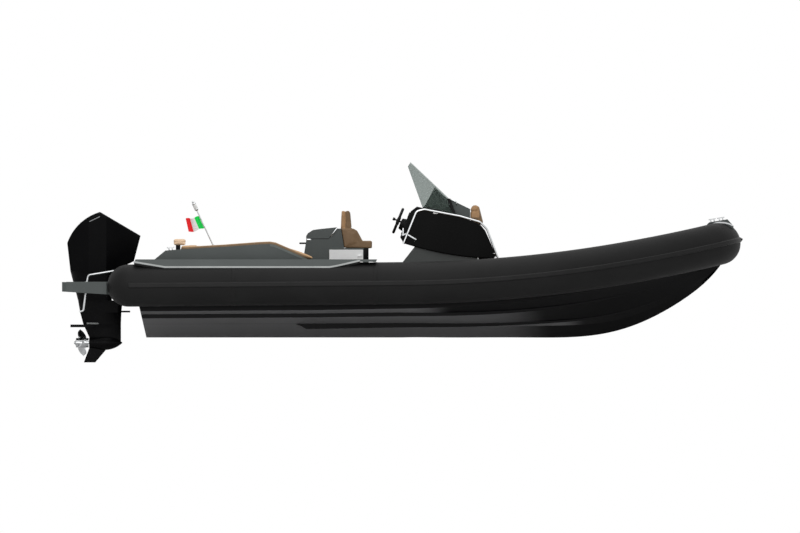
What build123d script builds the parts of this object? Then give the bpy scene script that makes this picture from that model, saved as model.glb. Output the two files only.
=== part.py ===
import math
import os

from build123d import *

os.makedirs("parts", exist_ok=True)

# A nine-metre rigid inflatable boat with a single outboard motor, in millimetres.
# +X is forward, +Y is port and +Z is up. The origin is amidships on the waterline.

# Clearances
seat_gap = 0.3  # between pieces that rest against each other
running_gap = 0.1  # radial, at pins and shafts

# Inflated collar
tube_radius = 275
tube_half_beam = 1265  # boat's centreline to the tube's centreline
collar_stern_x = -3561  # where the rounded end starts
collar_stern_z = 255
collar_trim = 0.5  # degrees, rise of the straight run
sheer_start_x = 0
sheer_radius = 18000
shoulder_turn = 40  # degrees, plan turn of the long bow bend
nose_radius = 420  # plan radius of the short bend at the nose
nose_x = 4120
strake_height = 90
strake_proud = 18
fender_length = 14

# Hull
keel_z = -420
keel_half_flat = 25
forefoot_x = 2100  # the keel is straight aft of this
stem_radius = 2673
stem_head_x = 4130
stem_half_beam = 50  # chine's half beam at the stem head
transom_x = -3329  # at the keel
transom_rake = 0.235  # aft run for each unit of height
transom_top_z = 385
chine_reverse = 23  # the chine's inner edge stands this far above its outer edge
chine_width = 93
wall_half_beam = tube_half_beam - 365  # inside of the cockpit walls
chine_half_beam = tube_half_beam - 335
cockpit_aft_x = -3380
bow_step_x = 1850
bow_plinth_z = 330
foredeck_x = 3250
foredeck_z = 565
foredeck_rise = 0.22  # height gained for each unit forward
collar_margin = 75  # moulding left between the bow well and the collar

# Cockpit sole
sole_z = 80
sole_thickness = 10
sole_top = sole_z + sole_thickness
sole_margin = 4

# Outboard motor
tilt_x = -3550
tilt_z = 412
steer_x = -3690
tilt_pin_radius = 22
steer_pin_radius = 40
plate_inner_y = 104
plate_thickness = 30
cowl_half_width = 300
cowl_floor_z = 440
leg_bottom_z = -96
prop_axis_z = -488
torpedo_radius = 80
prop_x = -4165
prop_radius = 185
hub_radius = 62
prop_shaft_radius = 17
bearing_depth = 60
blade_count = 3

# Deck furniture
coaming_top = 596
lounge_outer_y = tube_half_beam - 25
lounge_inner_y = tube_half_beam - 115
sofa_seat_z = 390
cushion_thickness = 120
helm_x = -1280
helm_half_width = 450
console_x = 0
console_half_width = 470
glass_thickness = 8
glass_half_width = 440
rail_radius = 14
rail_standoff = 45

# Stern
platform_top = 301
platform_inner_y = tube_half_beam - 565
platform_outer_y = tube_half_beam + 25
platform_arm_y = tube_half_beam - 325
platform_aft_x = -4427


def outline(points):
    return Polygon(*points, align=None)


def across(y):
    return Plane.XZ.offset(-y)


def finish(builder, name):
    builder.part.label = name
    export_step(builder.part, f"parts/{name}.step")


def mirrored(part, name):
    with BuildPart() as other:
        add(part)
        mirror(about=Plane.XZ, mode=Mode.REPLACE)
    finish(other, name)
    return other


# Collar geometry: a straight run, one long sheer bend and four bow bends, all true arcs
trim = math.radians(collar_trim)
sheer_start_z = collar_stern_z + (sheer_start_x - collar_stern_x) * math.tan(trim)
bow_turn = math.radians(shoulder_turn)
shoulder_radius = (tube_half_beam - nose_radius * math.cos(bow_turn)) / (1 - math.cos(bow_turn))
shoulder_end_x = nose_x - nose_radius * (1 - math.sin(bow_turn))
shoulder_x = shoulder_end_x - shoulder_radius * math.sin(bow_turn)


def collar_pitch(x):
    return math.asin(math.sin(trim) + max(0, x - sheer_start_x) / sheer_radius)


def collar_z(x):
    if x <= sheer_start_x:
        return sheer_start_z + (x - sheer_start_x) * math.tan(trim)
    return sheer_start_z + sheer_radius * (math.cos(trim) - math.cos(collar_pitch(x)))


def collar_turn(x):
    reach = min(max(0, x - shoulder_x) / shoulder_radius, math.sin(bow_turn))
    return math.asin(reach)


def collar_y(x):
    return tube_half_beam - shoulder_radius * (1 - math.cos(collar_turn(x)))


def collar_point(x, turn):
    y = 0 if turn == math.pi / 2 else collar_y(x)
    return Vector(x, -y, collar_z(x))


def collar_heading(x, turn):
    along = math.cos(turn)
    return Vector(along, math.sin(turn), along * math.tan(collar_pitch(x))).normalized()


def bend(start, heading, end):
    chord = end - start
    normal = heading.cross(chord).normalized()
    half_turn = math.radians(heading.get_angle(chord))
    radius = chord.length / (2 * math.sin(half_turn))
    centre = start + normal.cross(heading) * radius
    return Axis(centre, normal), 2 * math.degrees(half_turn)


def knee(start, heading, end, end_heading):
    # the point where two equal-tangent arcs between the two ends meet
    span = end - start
    both = heading + end_heading
    spread = 2 * (1 - heading.dot(end_heading))
    reach = span.dot(both)
    arm = (math.sqrt(reach**2 + spread * span.dot(span)) - reach) / spread
    first, second = start + heading * arm, end - end_heading * arm
    return (first + second) * 0.5


stern_point = Vector(collar_stern_x, -tube_half_beam, collar_stern_z)
stern_heading = collar_heading(collar_stern_x, 0)
sheer_point = collar_point(sheer_start_x, 0)
shoulder_point = collar_point(shoulder_x, 0)
shoulder_heading = collar_heading(shoulder_x, 0)
bow_ends = [(shoulder_end_x, bow_turn), (nose_x, math.pi / 2)]  # x, plan turn

bow_bends = []
here, heading = shoulder_point, shoulder_heading
for x, turn in bow_ends:
    there, there_heading = collar_point(x, turn), collar_heading(x, turn)
    middle = knee(here, heading, there, there_heading)
    for target in (middle, there):
        axis, angle = bend(here, heading, target)
        bow_bends.append((here, heading, axis, angle))
        here, heading = target, heading.rotate(axis, angle)
sheer_axis, sheer_angle = bend(sheer_point, stern_heading, shoulder_point)


def section_plane(point, heading, outboard):
    return Plane(origin=point, x_dir=outboard, z_dir=heading)


starboard = Vector(0, -1, 0)


def stern_run(radius):
    with BuildPart() as run:
        with BuildSketch(section_plane(stern_point, stern_heading, starboard)):
            Circle(radius)
        extrude(amount=(sheer_point - stern_point).length)
        with BuildSketch(section_plane(sheer_point, stern_heading, starboard)):
            Circle(radius)
        revolve(axis=sheer_axis, revolution_arc=sheer_angle)
        with BuildSketch(Plane(origin=stern_point, x_dir=stern_heading, z_dir=starboard)):
            with BuildLine():
                Polyline((-radius, 0), (0, 0), (0, radius))
                RadiusArc((-radius, 0), (0, radius), radius)
            make_face()
        revolve(axis=Axis(stern_point, stern_heading))
    return run.part


def bow_run(radius):
    with BuildPart() as run:
        outboard = starboard
        for point, heading, axis, angle in bow_bends:
            with BuildSketch(section_plane(point, heading, outboard)):
                Circle(radius)
            revolve(axis=axis, revolution_arc=angle)
            outboard = outboard.rotate(axis, angle)
    return run.part


# Collar: four air chambers
with BuildPart() as tube_stern_starboard:
    add(stern_run(tube_radius))
finish(tube_stern_starboard, "tube_stern_starboard")
tube_stern_port = mirrored(tube_stern_starboard.part, "tube_stern_port")

with BuildPart() as tube_bow_starboard:
    add(bow_run(tube_radius))
finish(tube_bow_starboard, "tube_bow_starboard")
tube_bow_port = mirrored(tube_bow_starboard.part, "tube_bow_port")

stern_bed = stern_run(tube_radius + seat_gap)
bow_bed = bow_run(tube_radius + seat_gap)


def clear_collar():
    for bed in (stern_bed, bow_bed):
        add(bed, mode=Mode.SUBTRACT)
        add(bed.mirror(Plane.XZ), mode=Mode.SUBTRACT)


def strake_section():
    outline([
        (tube_radius - strake_proud, -strake_height / 2),
        (tube_radius + strake_proud, -strake_height / 4),
        (tube_radius + strake_proud, strake_height / 4),
        (tube_radius - strake_proud, strake_height / 2),
    ])
    Circle(tube_radius + seat_gap, mode=Mode.SUBTRACT)


with BuildPart() as rub_strake:
    with BuildSketch(section_plane(stern_point, stern_heading, starboard)):
        strake_section()
    extrude(amount=(sheer_point - stern_point).length)
    with BuildSketch(section_plane(sheer_point, stern_heading, starboard)):
        strake_section()
    revolve(axis=sheer_axis, revolution_arc=sheer_angle)
    outboard = starboard
    for point, heading, axis, angle in bow_bends:
        with BuildSketch(section_plane(point, heading, outboard)):
            strake_section()
        revolve(axis=axis, revolution_arc=angle)
        outboard = outboard.rotate(axis, angle)
    nose_out = outboard
    mirror(about=Plane.XZ)
    nose_front = Vector(nose_x, 0, collar_z(nose_x)) + nose_out * (tube_radius + seat_gap)
    with BuildSketch(Plane(origin=nose_front, x_dir=(0, 1, 0), z_dir=nose_out)):
        RectangleRounded(strake_height * 1.6, strake_height * 0.5, strake_height * 0.24)
    extrude(amount=strake_proud + fender_length, taper=20)
finish(rub_strake, "rub_strake")


# Hull moulding
def keel_height(x):
    run = max(0, x - forefoot_x)
    return keel_z + stem_radius - math.sqrt(stem_radius**2 - run**2)


def wall_top(x):
    return max(transom_top_z, collar_z(x) - 40)


def fore_station(x):
    # station columns as below, faired from amidships to the stem head
    share = x / stem_head_x
    beam_share = max(0, x - 600) / (stem_head_x - 600)
    chine_low = -143 + 683 * share**2.6
    return (
        x,
        chine_half_beam - (chine_half_beam - stem_half_beam) * beam_share**2.2,
        chine_low,
        chine_low + 5 + 43 * (1 - share),
        collar_z(x) - 331 + 135 * share**2,
        0.63 - 0.18 * share,
        2 + 56 * (1 - share) ** 1.2,
    )


# x, chine half beam, chine bottom, chine top, flare height, spray rail share of the panel, rail drop
aft_stations = [
    (-3650, chine_half_beam, -173, -121, -82, 0.64, 1),
    (-1378, chine_half_beam, -160, -108, -66, 0.64, 1),
    (-1248, chine_half_beam, -160, -108, -66, 0.64, 72),
    fore_station(0),
]
fore_stations = [fore_station(stem_head_x * step / 8) for step in range(9)]
side_inset = 205  # hull side inboard of the tube's centreline


def hull_side(x):
    return max(60, collar_y(min(x, shoulder_end_x)) - side_inset / math.cos(collar_turn(x)))


def hull_section(station):
    x, chine, chine_low, chine_high, flare, share, drop = station
    keel = keel_height(x)
    inner_y, inner_z = chine - min(chine_width, chine * 0.4), chine_low + chine_reverse
    rail_y = keel_half_flat + share * (inner_y - keel_half_flat)
    rail_z = keel + share * (inner_z - keel)
    root = min(110, 0.4 * (rail_y - keel_half_flat))
    root_z = rail_z - root * (inner_z - keel) / (inner_y - keel_half_flat)
    side = max(hull_side(x), chine + 4)
    half = [
        (keel_half_flat, keel),
        (rail_y - root, root_z),
        (rail_y, rail_z - drop),
        (rail_y, rail_z),
        (inner_y, inner_z),
        (chine, chine_low),
        (chine, chine_high),
        (side, flare),
        (side, wall_top(x) + 20),
    ]
    with BuildSketch(Plane.YZ.offset(x)) as section:
        outline(half + [(-y, z) for y, z in reversed(half)])
    return section.sketch


def well_half_beam(x):
    turn = collar_turn(x)
    return min(wall_half_beam, collar_y(x) - (tube_radius + collar_margin) / math.cos(turn))


well_stations = [bow_step_x, 2300, 2700, foredeck_x - 150]  # x along the bow well's sides
transom_plane = Plane(
    origin=(transom_x, 0, keel_z), x_dir=(0, 1, 0), z_dir=Vector(-1, 0, -transom_rake).normalized()
)
hatch_x, hatch_length = 3370, 330
locker_depth = 170


def foredeck_height(x):
    return foredeck_z + foredeck_rise * (x - foredeck_x)


with BuildPart() as hull:
    loft(sections=[hull_section(station) for station in aft_stations], ruled=True)
    loft(sections=[hull_section(station) for station in fore_stations])
    split(bisect_by=transom_plane, keep=Keep.BOTTOM)
    clear_collar()
    # cockpit
    with BuildSketch(Plane.XY.offset(sole_z)):
        with Locations((cockpit_aft_x, 0)):
            Rectangle(bow_step_x - cockpit_aft_x, 2 * wall_half_beam, align=(Align.MIN, Align.CENTER))
    extrude(amount=1000, mode=Mode.SUBTRACT)
    # bow well
    port_side = [(x, well_half_beam(x)) for x in well_stations]
    with BuildSketch(Plane.XY.offset(bow_plinth_z)):
        outline(port_side + [(x, -y) for x, y in reversed(port_side)])
    extrude(amount=1000, mode=Mode.SUBTRACT)
    # everything above the rail line
    with BuildSketch(Plane.XZ):
        outline([
            (transom_x - 400, transom_top_z),
            (shoulder_x, transom_top_z),
            (foredeck_x, foredeck_z),
            (foredeck_x + 1000, foredeck_height(foredeck_x + 1000)),
            (foredeck_x + 1000, 1400),
            (transom_x - 400, 1400),
        ])
    extrude(amount=2000, both=True, mode=Mode.SUBTRACT)
    # anchor locker
    with BuildSketch(Plane.XY.offset(foredeck_z - locker_depth)):
        with Locations((hatch_x + 25, 0)):
            Rectangle(hatch_length - 90, 220, align=(Align.MIN, Align.CENTER))
    extrude(amount=500, mode=Mode.SUBTRACT)
finish(hull, "hull")

with BuildPart() as deck:
    with BuildSketch(Plane.XY.offset(sole_z)):
        with Locations((cockpit_aft_x + sole_margin, 0)):
            Rectangle(
                bow_step_x - cockpit_aft_x - 2 * sole_margin,
                2 * (wall_half_beam - sole_margin),
                align=(Align.MIN, Align.CENTER),
            )
    extrude(amount=sole_thickness)
finish(deck, "deck")

# Anchor hatch on the sloping foredeck
hatch_thickness = 18
hatch_half_width = 250
foredeck_plane = Plane(
    origin=(hatch_x, 0, foredeck_height(hatch_x)),
    x_dir=(1, 0, foredeck_rise),
    z_dir=(-foredeck_rise, 0, 1),
)
with BuildPart() as anchor_hatch:
    with BuildSketch(foredeck_plane.offset(seat_gap)):
        outline([
            (0, -hatch_half_width), (hatch_length, -135), (hatch_length, 135), (0, hatch_half_width)
        ])
        fillet(vertices().sort_by(Axis.X)[-2:], 30)
    extrude(amount=hatch_thickness)
    hatch_hinge = foredeck_plane.origin + foredeck_plane.z_dir * (seat_gap + hatch_thickness / 2)
    with BuildSketch(Plane(origin=hatch_hinge, z_dir=(0, 1, 0))):
        Circle(hatch_thickness / 2)
    extrude(amount=hatch_half_width, both=True)
finish(anchor_hatch, "anchor_hatch")

# Bow plate and its fittings
plate_half_width = 170
with BuildPart() as bow_plate:
    with BuildSketch(Plane.XZ):
        outline([(3950, 960), (3960, 1052), (3988, 1078), (4225, 1117), (4303, 1030), (4303, 960)])
    extrude(amount=plate_half_width, both=True)
    fillet(edges().filter_by(Axis.Z), 8)
    clear_collar()
finish(bow_plate, "bow_plate")


bow_pitch = (1117 - 1078) / (4225 - 3988)
lounge_line = [  # x, z along the top of the lounge's outer sides
    (-3223, coaming_top), (-3082, 711), (-2841, 730), (-2308, 760), (-1879, 790), (-1723, 796),
    (-1660, 786), (-1220, coaming_top),
]
lounge_pitch = (lounge_line[2][1] - lounge_line[1][1]) / (lounge_line[2][0] - lounge_line[1][0])
stern_cleat_x = -3013
stern_cleat_y = (lounge_outer_y + lounge_inner_y) / 2
stern_cleat_z = lounge_line[1][1] + lounge_pitch * (stern_cleat_x - lounge_line[1][0])
cleat_places = [  # x, y, z, pitch of the face they stand on
    (4033, 90, 1078 + bow_pitch * (4033 - 3988), bow_pitch),
    (4033, -90, 1078 + bow_pitch * (4033 - 3988), bow_pitch),
    (4144, 0, 1078 + bow_pitch * (4144 - 3988), bow_pitch),
    (stern_cleat_x, -stern_cleat_y, stern_cleat_z, lounge_pitch),
    (stern_cleat_x, stern_cleat_y, stern_cleat_z, lounge_pitch),
]
with BuildPart() as cleats:
    for x, y, z, pitch in cleat_places:
        place = Plane(origin=(x, y, z), x_dir=(1, 0, pitch), z_dir=(-pitch, 0, 1))
        with BuildSketch(place):
            with Locations((-22, 0), (22, 0)):
                Circle(8)
        extrude(amount=28)
        with BuildSketch(place.offset(26)):
            SlotOverall(95, 18)
        extrude(amount=14)
finish(cleats, "cleats")

# Tie-down eyes on the transom
eye_radius, eye_hole, eye_thickness = 34, 14, 16
eye_standoff = 8
stern_eye_y, stern_eye_z = 600, 60
stern_eye_x = transom_x - transom_rake * (stern_eye_z - keel_z)
stern_eye_out = Vector(-1, 0, -transom_rake).normalized()
stern_eye_up = Vector(-transom_rake, 0, 1).normalized()
with BuildPart() as tow_eyes:
    for side in (-1, 1):
        foot = Vector(stern_eye_x, side * stern_eye_y, stern_eye_z)
        centre = foot + stern_eye_out * (eye_radius + eye_standoff)
        with BuildSketch(Plane(origin=centre, x_dir=stern_eye_out, z_dir=stern_eye_up)):
            Circle(eye_radius)
            Rectangle(2 * eye_radius, 2 * eye_radius, align=(Align.MAX, Align.CENTER))
            Circle(eye_hole, mode=Mode.SUBTRACT)
        extrude(amount=eye_thickness / 2, both=True)
    with BuildSketch(transom_plane):
        Rectangle(4000, 4000)
    extrude(amount=-300, mode=Mode.SUBTRACT)
finish(tow_eyes, "tow_eyes")

# Coamings over the aft half of the collar
coaming_inner_y = wall_half_beam + 5
coaming_outer_y = tube_half_beam + 191
with BuildPart() as coamings:
    with BuildSketch(Plane.YZ.offset(-3500)):
        outline([
            (-coaming_outer_y, 440),
            (-coaming_outer_y + 44, coaming_top),
            (-coaming_inner_y, coaming_top),
            (-coaming_inner_y, transom_top_z),
            (-coaming_outer_y, transom_top_z),
        ])
    extrude(amount=3180)
    with BuildSketch(Plane.XZ):
        with BuildLine():
            Polyline((-3497, 548), (-3088, 480), (-942, 480))
            ThreePointArc((-942, 480), (-747, 522), (-552, 568))
            Polyline((-552, 568), (-344, 561), (-330, coaming_top), (-3470, coaming_top), (-3497, 548))
        make_face()
    extrude(amount=2000, both=True, mode=Mode.INTERSECT)
    add(stern_bed, mode=Mode.SUBTRACT)
    mirror(about=Plane.XZ)
finish(coamings, "coamings")

# Lounge: outer sides, bulkhead, seat base and cushions
with BuildPart() as lounge_sides:
    with BuildSketch(across(-lounge_inner_y)):
        outline(lounge_line)
    extrude(amount=lounge_outer_y - lounge_inner_y)
    mirror(about=Plane.XZ)
finish(lounge_sides, "lounge_sides")

bulkhead_x, bulkhead_thickness = -2840, 60
bulkhead_top = 745
sofa_aft_x = bulkhead_x + bulkhead_thickness
sofa_depth = 600
sofa_front_x = -1340
footwell_half_width = wall_half_beam - 420
with BuildPart() as lounge_bulkhead:
    with BuildSketch(Plane.XY.offset(sole_top)):
        with Locations((bulkhead_x, 0)):
            Rectangle(bulkhead_thickness, 2 * (wall_half_beam - 2), align=(Align.MIN, Align.CENTER))
    extrude(amount=bulkhead_top - sole_top)
finish(lounge_bulkhead, "lounge_bulkhead")


def bench_outline(inset):
    aft, front = sofa_aft_x + inset, sofa_front_x - inset
    side = wall_half_beam - 2 - inset
    well_aft, well = sofa_aft_x + sofa_depth, footwell_half_width
    return [
        (aft, -side), (front, -side), (front, -well - inset), (well_aft - inset, -well - inset),
        (well_aft - inset, well + inset), (front, well + inset), (front, side), (aft, side),
    ]


with BuildPart() as sofa_base:
    with BuildSketch(Plane.XY.offset(sole_top)):
        outline(bench_outline(0))
    extrude(amount=sofa_seat_z - sole_top)
finish(sofa_base, "sofa_base")

with BuildPart() as sofa_seat_cushions:
    with BuildSketch(Plane.XY.offset(sofa_seat_z + seat_gap)):
        outline(bench_outline(6))
        for side in (-1, 1):
            with Locations((sofa_aft_x + sofa_depth, side * wall_half_beam)):
                Rectangle(8, 2 * (wall_half_beam - footwell_half_width) + 200, mode=Mode.SUBTRACT)
    extrude(amount=cushion_thickness)
finish(sofa_seat_cushions, "sofa_seat_cushions")

back_thickness = 118
with BuildPart() as sofa_back_cushions:
    with BuildSketch(across(-lounge_inner_y + back_thickness)):
        outline([
            (-2880, coaming_top + seat_gap), (-2880, 767), (-2308, 802), (-1879, 834), (-1723, 841),
            (-1645, 828), (-1164, 620), (-1164, coaming_top + seat_gap),
        ])
    extrude(amount=back_thickness - seat_gap)
    mirror(about=Plane.XZ)
    back_z = sofa_seat_z + cushion_thickness + 2 * seat_gap
    with BuildSketch(Plane.XY.offset(back_z)):
        with Locations((sofa_aft_x + seat_gap, 0)):
            Rectangle(110, 2 * (wall_half_beam - 40), align=(Align.MIN, Align.CENTER))
    extrude(amount=bulkhead_top + 40 - back_z)
finish(sofa_back_cushions, "sofa_back_cushions")

headrest_z, headrest_height = 783, 74
headrest_x, headrest_length = -2978, 162
headrest_y, headrest_width = lounge_inner_y - 125, 200
with BuildPart() as headrest_brackets:
    for side in (-1, 1):
        for offset in (-60, 60):
            with BuildSketch(Plane.XY.offset(coaming_top)):
                with Locations((headrest_x + headrest_length / 2 - 20, side * headrest_y + offset)):
                    Rectangle(60, 14)
            extrude(amount=headrest_z - coaming_top)
finish(headrest_brackets, "headrest_brackets")

with BuildPart() as lounge_headrests:
    for side in (-1, 1):
        with BuildSketch(Plane.XY.offset(headrest_z + seat_gap)):
            with Locations((headrest_x + headrest_length / 2, side * headrest_y)):
                Rectangle(headrest_length, headrest_width)
        extrude(amount=headrest_height)
    fillet(edges(), 14)
finish(lounge_headrests, "lounge_headrests")


# Helm unit: a moulded base with a fridge bay and a wet bar, two seats and a lid
def at_helm(points):
    return [(helm_x + x, sole_top + z) for x, z in points]


bar_height = 776
seat_height = 653
helm_back = 480
helm_length = 840
lid_break = 325
hinge_x, hinge_height = 420, 906
bay_x, bay_length, bay_low, bay_height = 360, 385, 180, 430
bay_depth = 350
door_lap = 22
door_thickness = 22
with BuildPart() as helm_base:
    with BuildSketch(Plane.XZ):
        outline(at_helm([
            (0, 0), (0, 575), (32, bar_height), (lid_break, bar_height), (hinge_x, hinge_height),
            (helm_back, hinge_height), (helm_back + 40, seat_height), (helm_length, seat_height),
            (helm_length, 0),
        ]))
    extrude(amount=helm_half_width, both=True)
    fillet(edges().filter_by(Axis.Z), 25)
    # sink under the lid
    with BuildSketch(Plane.XY.offset(sole_top + bar_height - 110)):
        with Locations((helm_x + 75, 0)):
            Rectangle(lid_break - 110, 640, align=(Align.MIN, Align.CENTER))
    extrude(amount=200, mode=Mode.SUBTRACT)
    # fridge bay, open to starboard
    with BuildSketch(across(-helm_half_width + bay_depth)):
        with Locations((helm_x + bay_x, sole_top + bay_low)):
            Rectangle(bay_length, bay_height, align=(Align.MIN, Align.MIN))
    extrude(amount=bay_depth, mode=Mode.SUBTRACT)
finish(helm_base, "helm_base")

lid_barrel = 8
barrel_height = hinge_height + seat_gap + lid_barrel
with BuildPart() as helm_lid:
    with BuildSketch(Plane.XZ):
        outline(at_helm([
            (26, bar_height + seat_gap), (28, 812), (52, 848), (117, 888), (208, 901),
            (hinge_x, barrel_height + lid_barrel), (hinge_x, hinge_height + seat_gap),
            (lid_break - 1, bar_height + seat_gap),
        ]))
        with Locations(*at_helm([(hinge_x, barrel_height)])):
            Circle(lid_barrel)
    extrude(amount=helm_half_width - 8, both=True)
finish(helm_lid, "helm_lid")

door_hinge_x = helm_x + bay_x - door_lap
door_back_y = -helm_half_width - seat_gap
with BuildPart() as fridge_door:
    with BuildSketch(Plane.XY.offset(sole_top + bay_low - door_lap)):
        with Locations((door_hinge_x, door_back_y)):
            Rectangle(bay_length + 2 * door_lap, door_thickness, align=(Align.MIN, Align.MAX))
        with Locations((door_hinge_x, door_back_y - door_thickness / 2)):
            Circle(door_thickness / 2)
    extrude(amount=bay_height + 2 * door_lap)
    fillet(edges().filter_by(Axis.Y).group_by(Axis.X)[-1], 12)
finish(fridge_door, "fridge_door")

seat_pitch, seat_width = 450, 425
wing_thickness = 62
pad_height = 91
with BuildPart() as helm_seats:
    for side in (-1, 1):
        centre = side * seat_pitch / 2
        # side wings
        for wing in (-1, 1):
            wing_y = centre + wing * (seat_width - wing_thickness) / 2
            with BuildSketch(across(wing_y + wing_thickness / 2)):
                outline(at_helm([
                    (helm_back + 42, seat_height + seat_gap), (helm_back + 1, hinge_height + 4), (637, 907),
                    (689, 874), (760, 744), (799, seat_height + seat_gap),
                ]))
            extrude(amount=wing_thickness)
        # seat pad
        with BuildSketch(across(centre + seat_width / 2 - 10)):
            outline(at_helm([
                (helm_back + 60, seat_height + seat_gap), (helm_back + 60, seat_height + pad_height),
                (890, seat_height + pad_height), (890, seat_height + seat_gap),
            ]))
        extrude(amount=seat_width - 20)
        # backrest
        with BuildSketch(across(centre + seat_width / 2 - wing_thickness + 10)):
            outline(at_helm([
                (helm_back + 46, seat_height + seat_gap), (helm_back + 2, hinge_height + 4),
                (helm_back + 12, 1141), (594, 1141), (640, seat_height + seat_gap),
            ]))
        extrude(amount=seat_width - 2 * wing_thickness + 20)
finish(helm_seats, "helm_seats")

# Grab bars on the helm unit: one across the aft face, one along each end of the lid
bar_radius = 11
with BuildPart() as helm_bars:
    with BuildLine() as aft_bar:
        FilletPolyline(
            *[(helm_x + x, y, sole_top + 715) for x, y in [(40, -330), (-52, -330), (-52, 330), (40, 330)]],
            radius=25,
        )
    with BuildSketch(Plane(origin=aft_bar.line @ 0, z_dir=aft_bar.line % 0)):
        Circle(bar_radius)
    sweep(path=aft_bar.line)
    add(helm_base.part, mode=Mode.SUBTRACT)
finish(helm_bars, "helm_bars")


# Console
def at_console(points):
    return [(console_x + x, sole_top + z) for x, z in points]


face_low, face_high = (-31, 794), (108, 1132)  # aft face that carries the wheel
dash_aft, dash_fwd = (187, 1192), (705, 1079)
shell_front, shell_brow = (1222, 550), (1010, 959)


def dash_height(x):
    slope = (dash_fwd[1] - dash_aft[1]) / (dash_fwd[0] - dash_aft[0])
    return dash_aft[1] + slope * (x - dash_aft[0])


def brow_height(x):
    slope = (shell_brow[1] - dash_fwd[1]) / (shell_brow[0] - dash_fwd[0])
    return dash_fwd[1] + slope * (x - dash_fwd[0])


shell_low = at_console([(16, 713), (506, 588), (1180, 514)])
shell_upper = at_console([
    (1180, 514), shell_front, (1076, 880), shell_brow, dash_fwd, dash_aft, face_high, face_low, (16, 713)
])


glass_low_x, glass_fwd_x = 262, 682
glass_top, glass_front = (105, 1771), (607, 1297)
glass_aft = (69, 1712)
wheel_y, wheel_height = -200, 968
face_dir = Vector(face_high[0] - face_low[0], 0, face_high[1] - face_low[1]).normalized()
face_out = Vector(-face_dir.Z, 0, face_dir.X)
face_share = (wheel_height - face_low[1]) / (face_high[1] - face_low[1])
face_x = face_low[0] + face_share * (face_high[0] - face_low[0])
helm_point = Vector(console_x + face_x, wheel_y, sole_top + wheel_height)
wheel_distance = 105
wheel_radius = 160
rim_radius = 18
wheel_hub_radius = 52
shaft_radius = 12
column_length = 68

with BuildPart() as console_shell:
    with BuildSketch(Plane.XZ):
        with BuildLine():
            ThreePointArc(*shell_low)
            Polyline(*shell_upper)
        make_face()
    extrude(amount=console_half_width, both=True)
    fillet(edges().group_by(Axis.Y)[0] + edges().group_by(Axis.Y)[-1], 12)
    # steering column
    with BuildSketch(Plane(origin=helm_point - face_out * 5, z_dir=face_out)):
        Circle(46)
    extrude(amount=column_length + 5, taper=8)
    with BuildSketch(Plane(origin=helm_point, z_dir=face_out)):
        Circle(shaft_radius)
    extrude(amount=wheel_distance + 8)
finish(console_shell, "console_shell")

# Instrument hood behind the windscreen
with BuildPart() as instrument_hood:
    with BuildSketch(Plane.XZ):
        outline(at_console([
            (glass_low_x, dash_height(glass_low_x) - 20), (420, 1443), (588, 1285),
            (660, dash_height(660) - 20),
        ]))
    extrude(amount=glass_half_width - 30, both=True)
    add(console_shell.part, mode=Mode.SUBTRACT)
finish(instrument_hood, "instrument_hood")

seat_rise = sofa_seat_z - sole_top
with BuildPart() as console_base:
    with BuildSketch(Plane.XZ):
        outline(at_console([(5, 0), (5, 475), (160, 673), (160, 720), (980, 720), (980, 0)]))
    extrude(amount=console_half_width - 40, both=True)
    with BuildSketch(Plane.XZ):
        outline(at_console([(979, 0), (979, seat_rise), (1560, seat_rise), (1560, 0)]))
    extrude(amount=420, both=True)
    add(console_shell.part, mode=Mode.SUBTRACT)
finish(console_base, "console_base")

with BuildPart() as console_nose:
    with BuildSketch(Plane.XZ):
        outline(at_console([
            (glass_front[0] + 12, glass_front[1] - 10), (880, 1160), (880, brow_height(880)), dash_fwd,
            (glass_fwd_x + 12, dash_height(glass_fwd_x + 12)),
        ]))
    extrude(amount=glass_half_width - 60, both=True)
finish(console_nose, "console_nose")

with BuildPart() as windscreen:
    with BuildSketch(Plane.XZ):
        outline(at_console([
            glass_aft, glass_top, glass_front, (glass_fwd_x, dash_height(glass_fwd_x) + seat_gap),
            (glass_low_x, dash_height(glass_low_x) + seat_gap),
        ]))
    extrude(amount=glass_half_width, both=True)
    with BuildSketch(Plane.XZ):
        reach = glass_thickness * 1.45
        outline(at_console([
            (glass_top[0] - reach - 700, glass_top[1] + 700), (glass_top[0] - reach, glass_top[1]),
            (glass_front[0] - reach, glass_front[1]), (glass_fwd_x - reach, dash_height(glass_fwd_x) - 40),
            (glass_fwd_x - reach, 900), (-700, 900),
        ]))
    extrude(amount=glass_half_width - glass_thickness, both=True, mode=Mode.SUBTRACT)
finish(windscreen, "windscreen")

rail_y = console_half_width + rail_standoff
rail_route = [(12, 708), (183, 1130), (283, 1155), (747, 1066), (1007, 991), (1098, 900), (1241, 523)]
rail_posts = [(40, 776), (700, 1075), (1190, 657)]
with BuildPart() as console_rails:
    with BuildLine(across(-rail_y)) as rail_path:
        FilletPolyline(*at_console(rail_route), radius=60)
    with BuildSketch(Plane(origin=rail_path.line @ 0, z_dir=rail_path.line % 0)):
        Circle(rail_radius)
    sweep(path=rail_path.line)
    with BuildSketch(across(-console_half_width)):
        for point in at_console(rail_posts):
            with Locations(point):
                Circle(9)
    extrude(amount=rail_standoff)
    mirror(about=Plane.XZ)
finish(console_rails, "console_rails")

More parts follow.
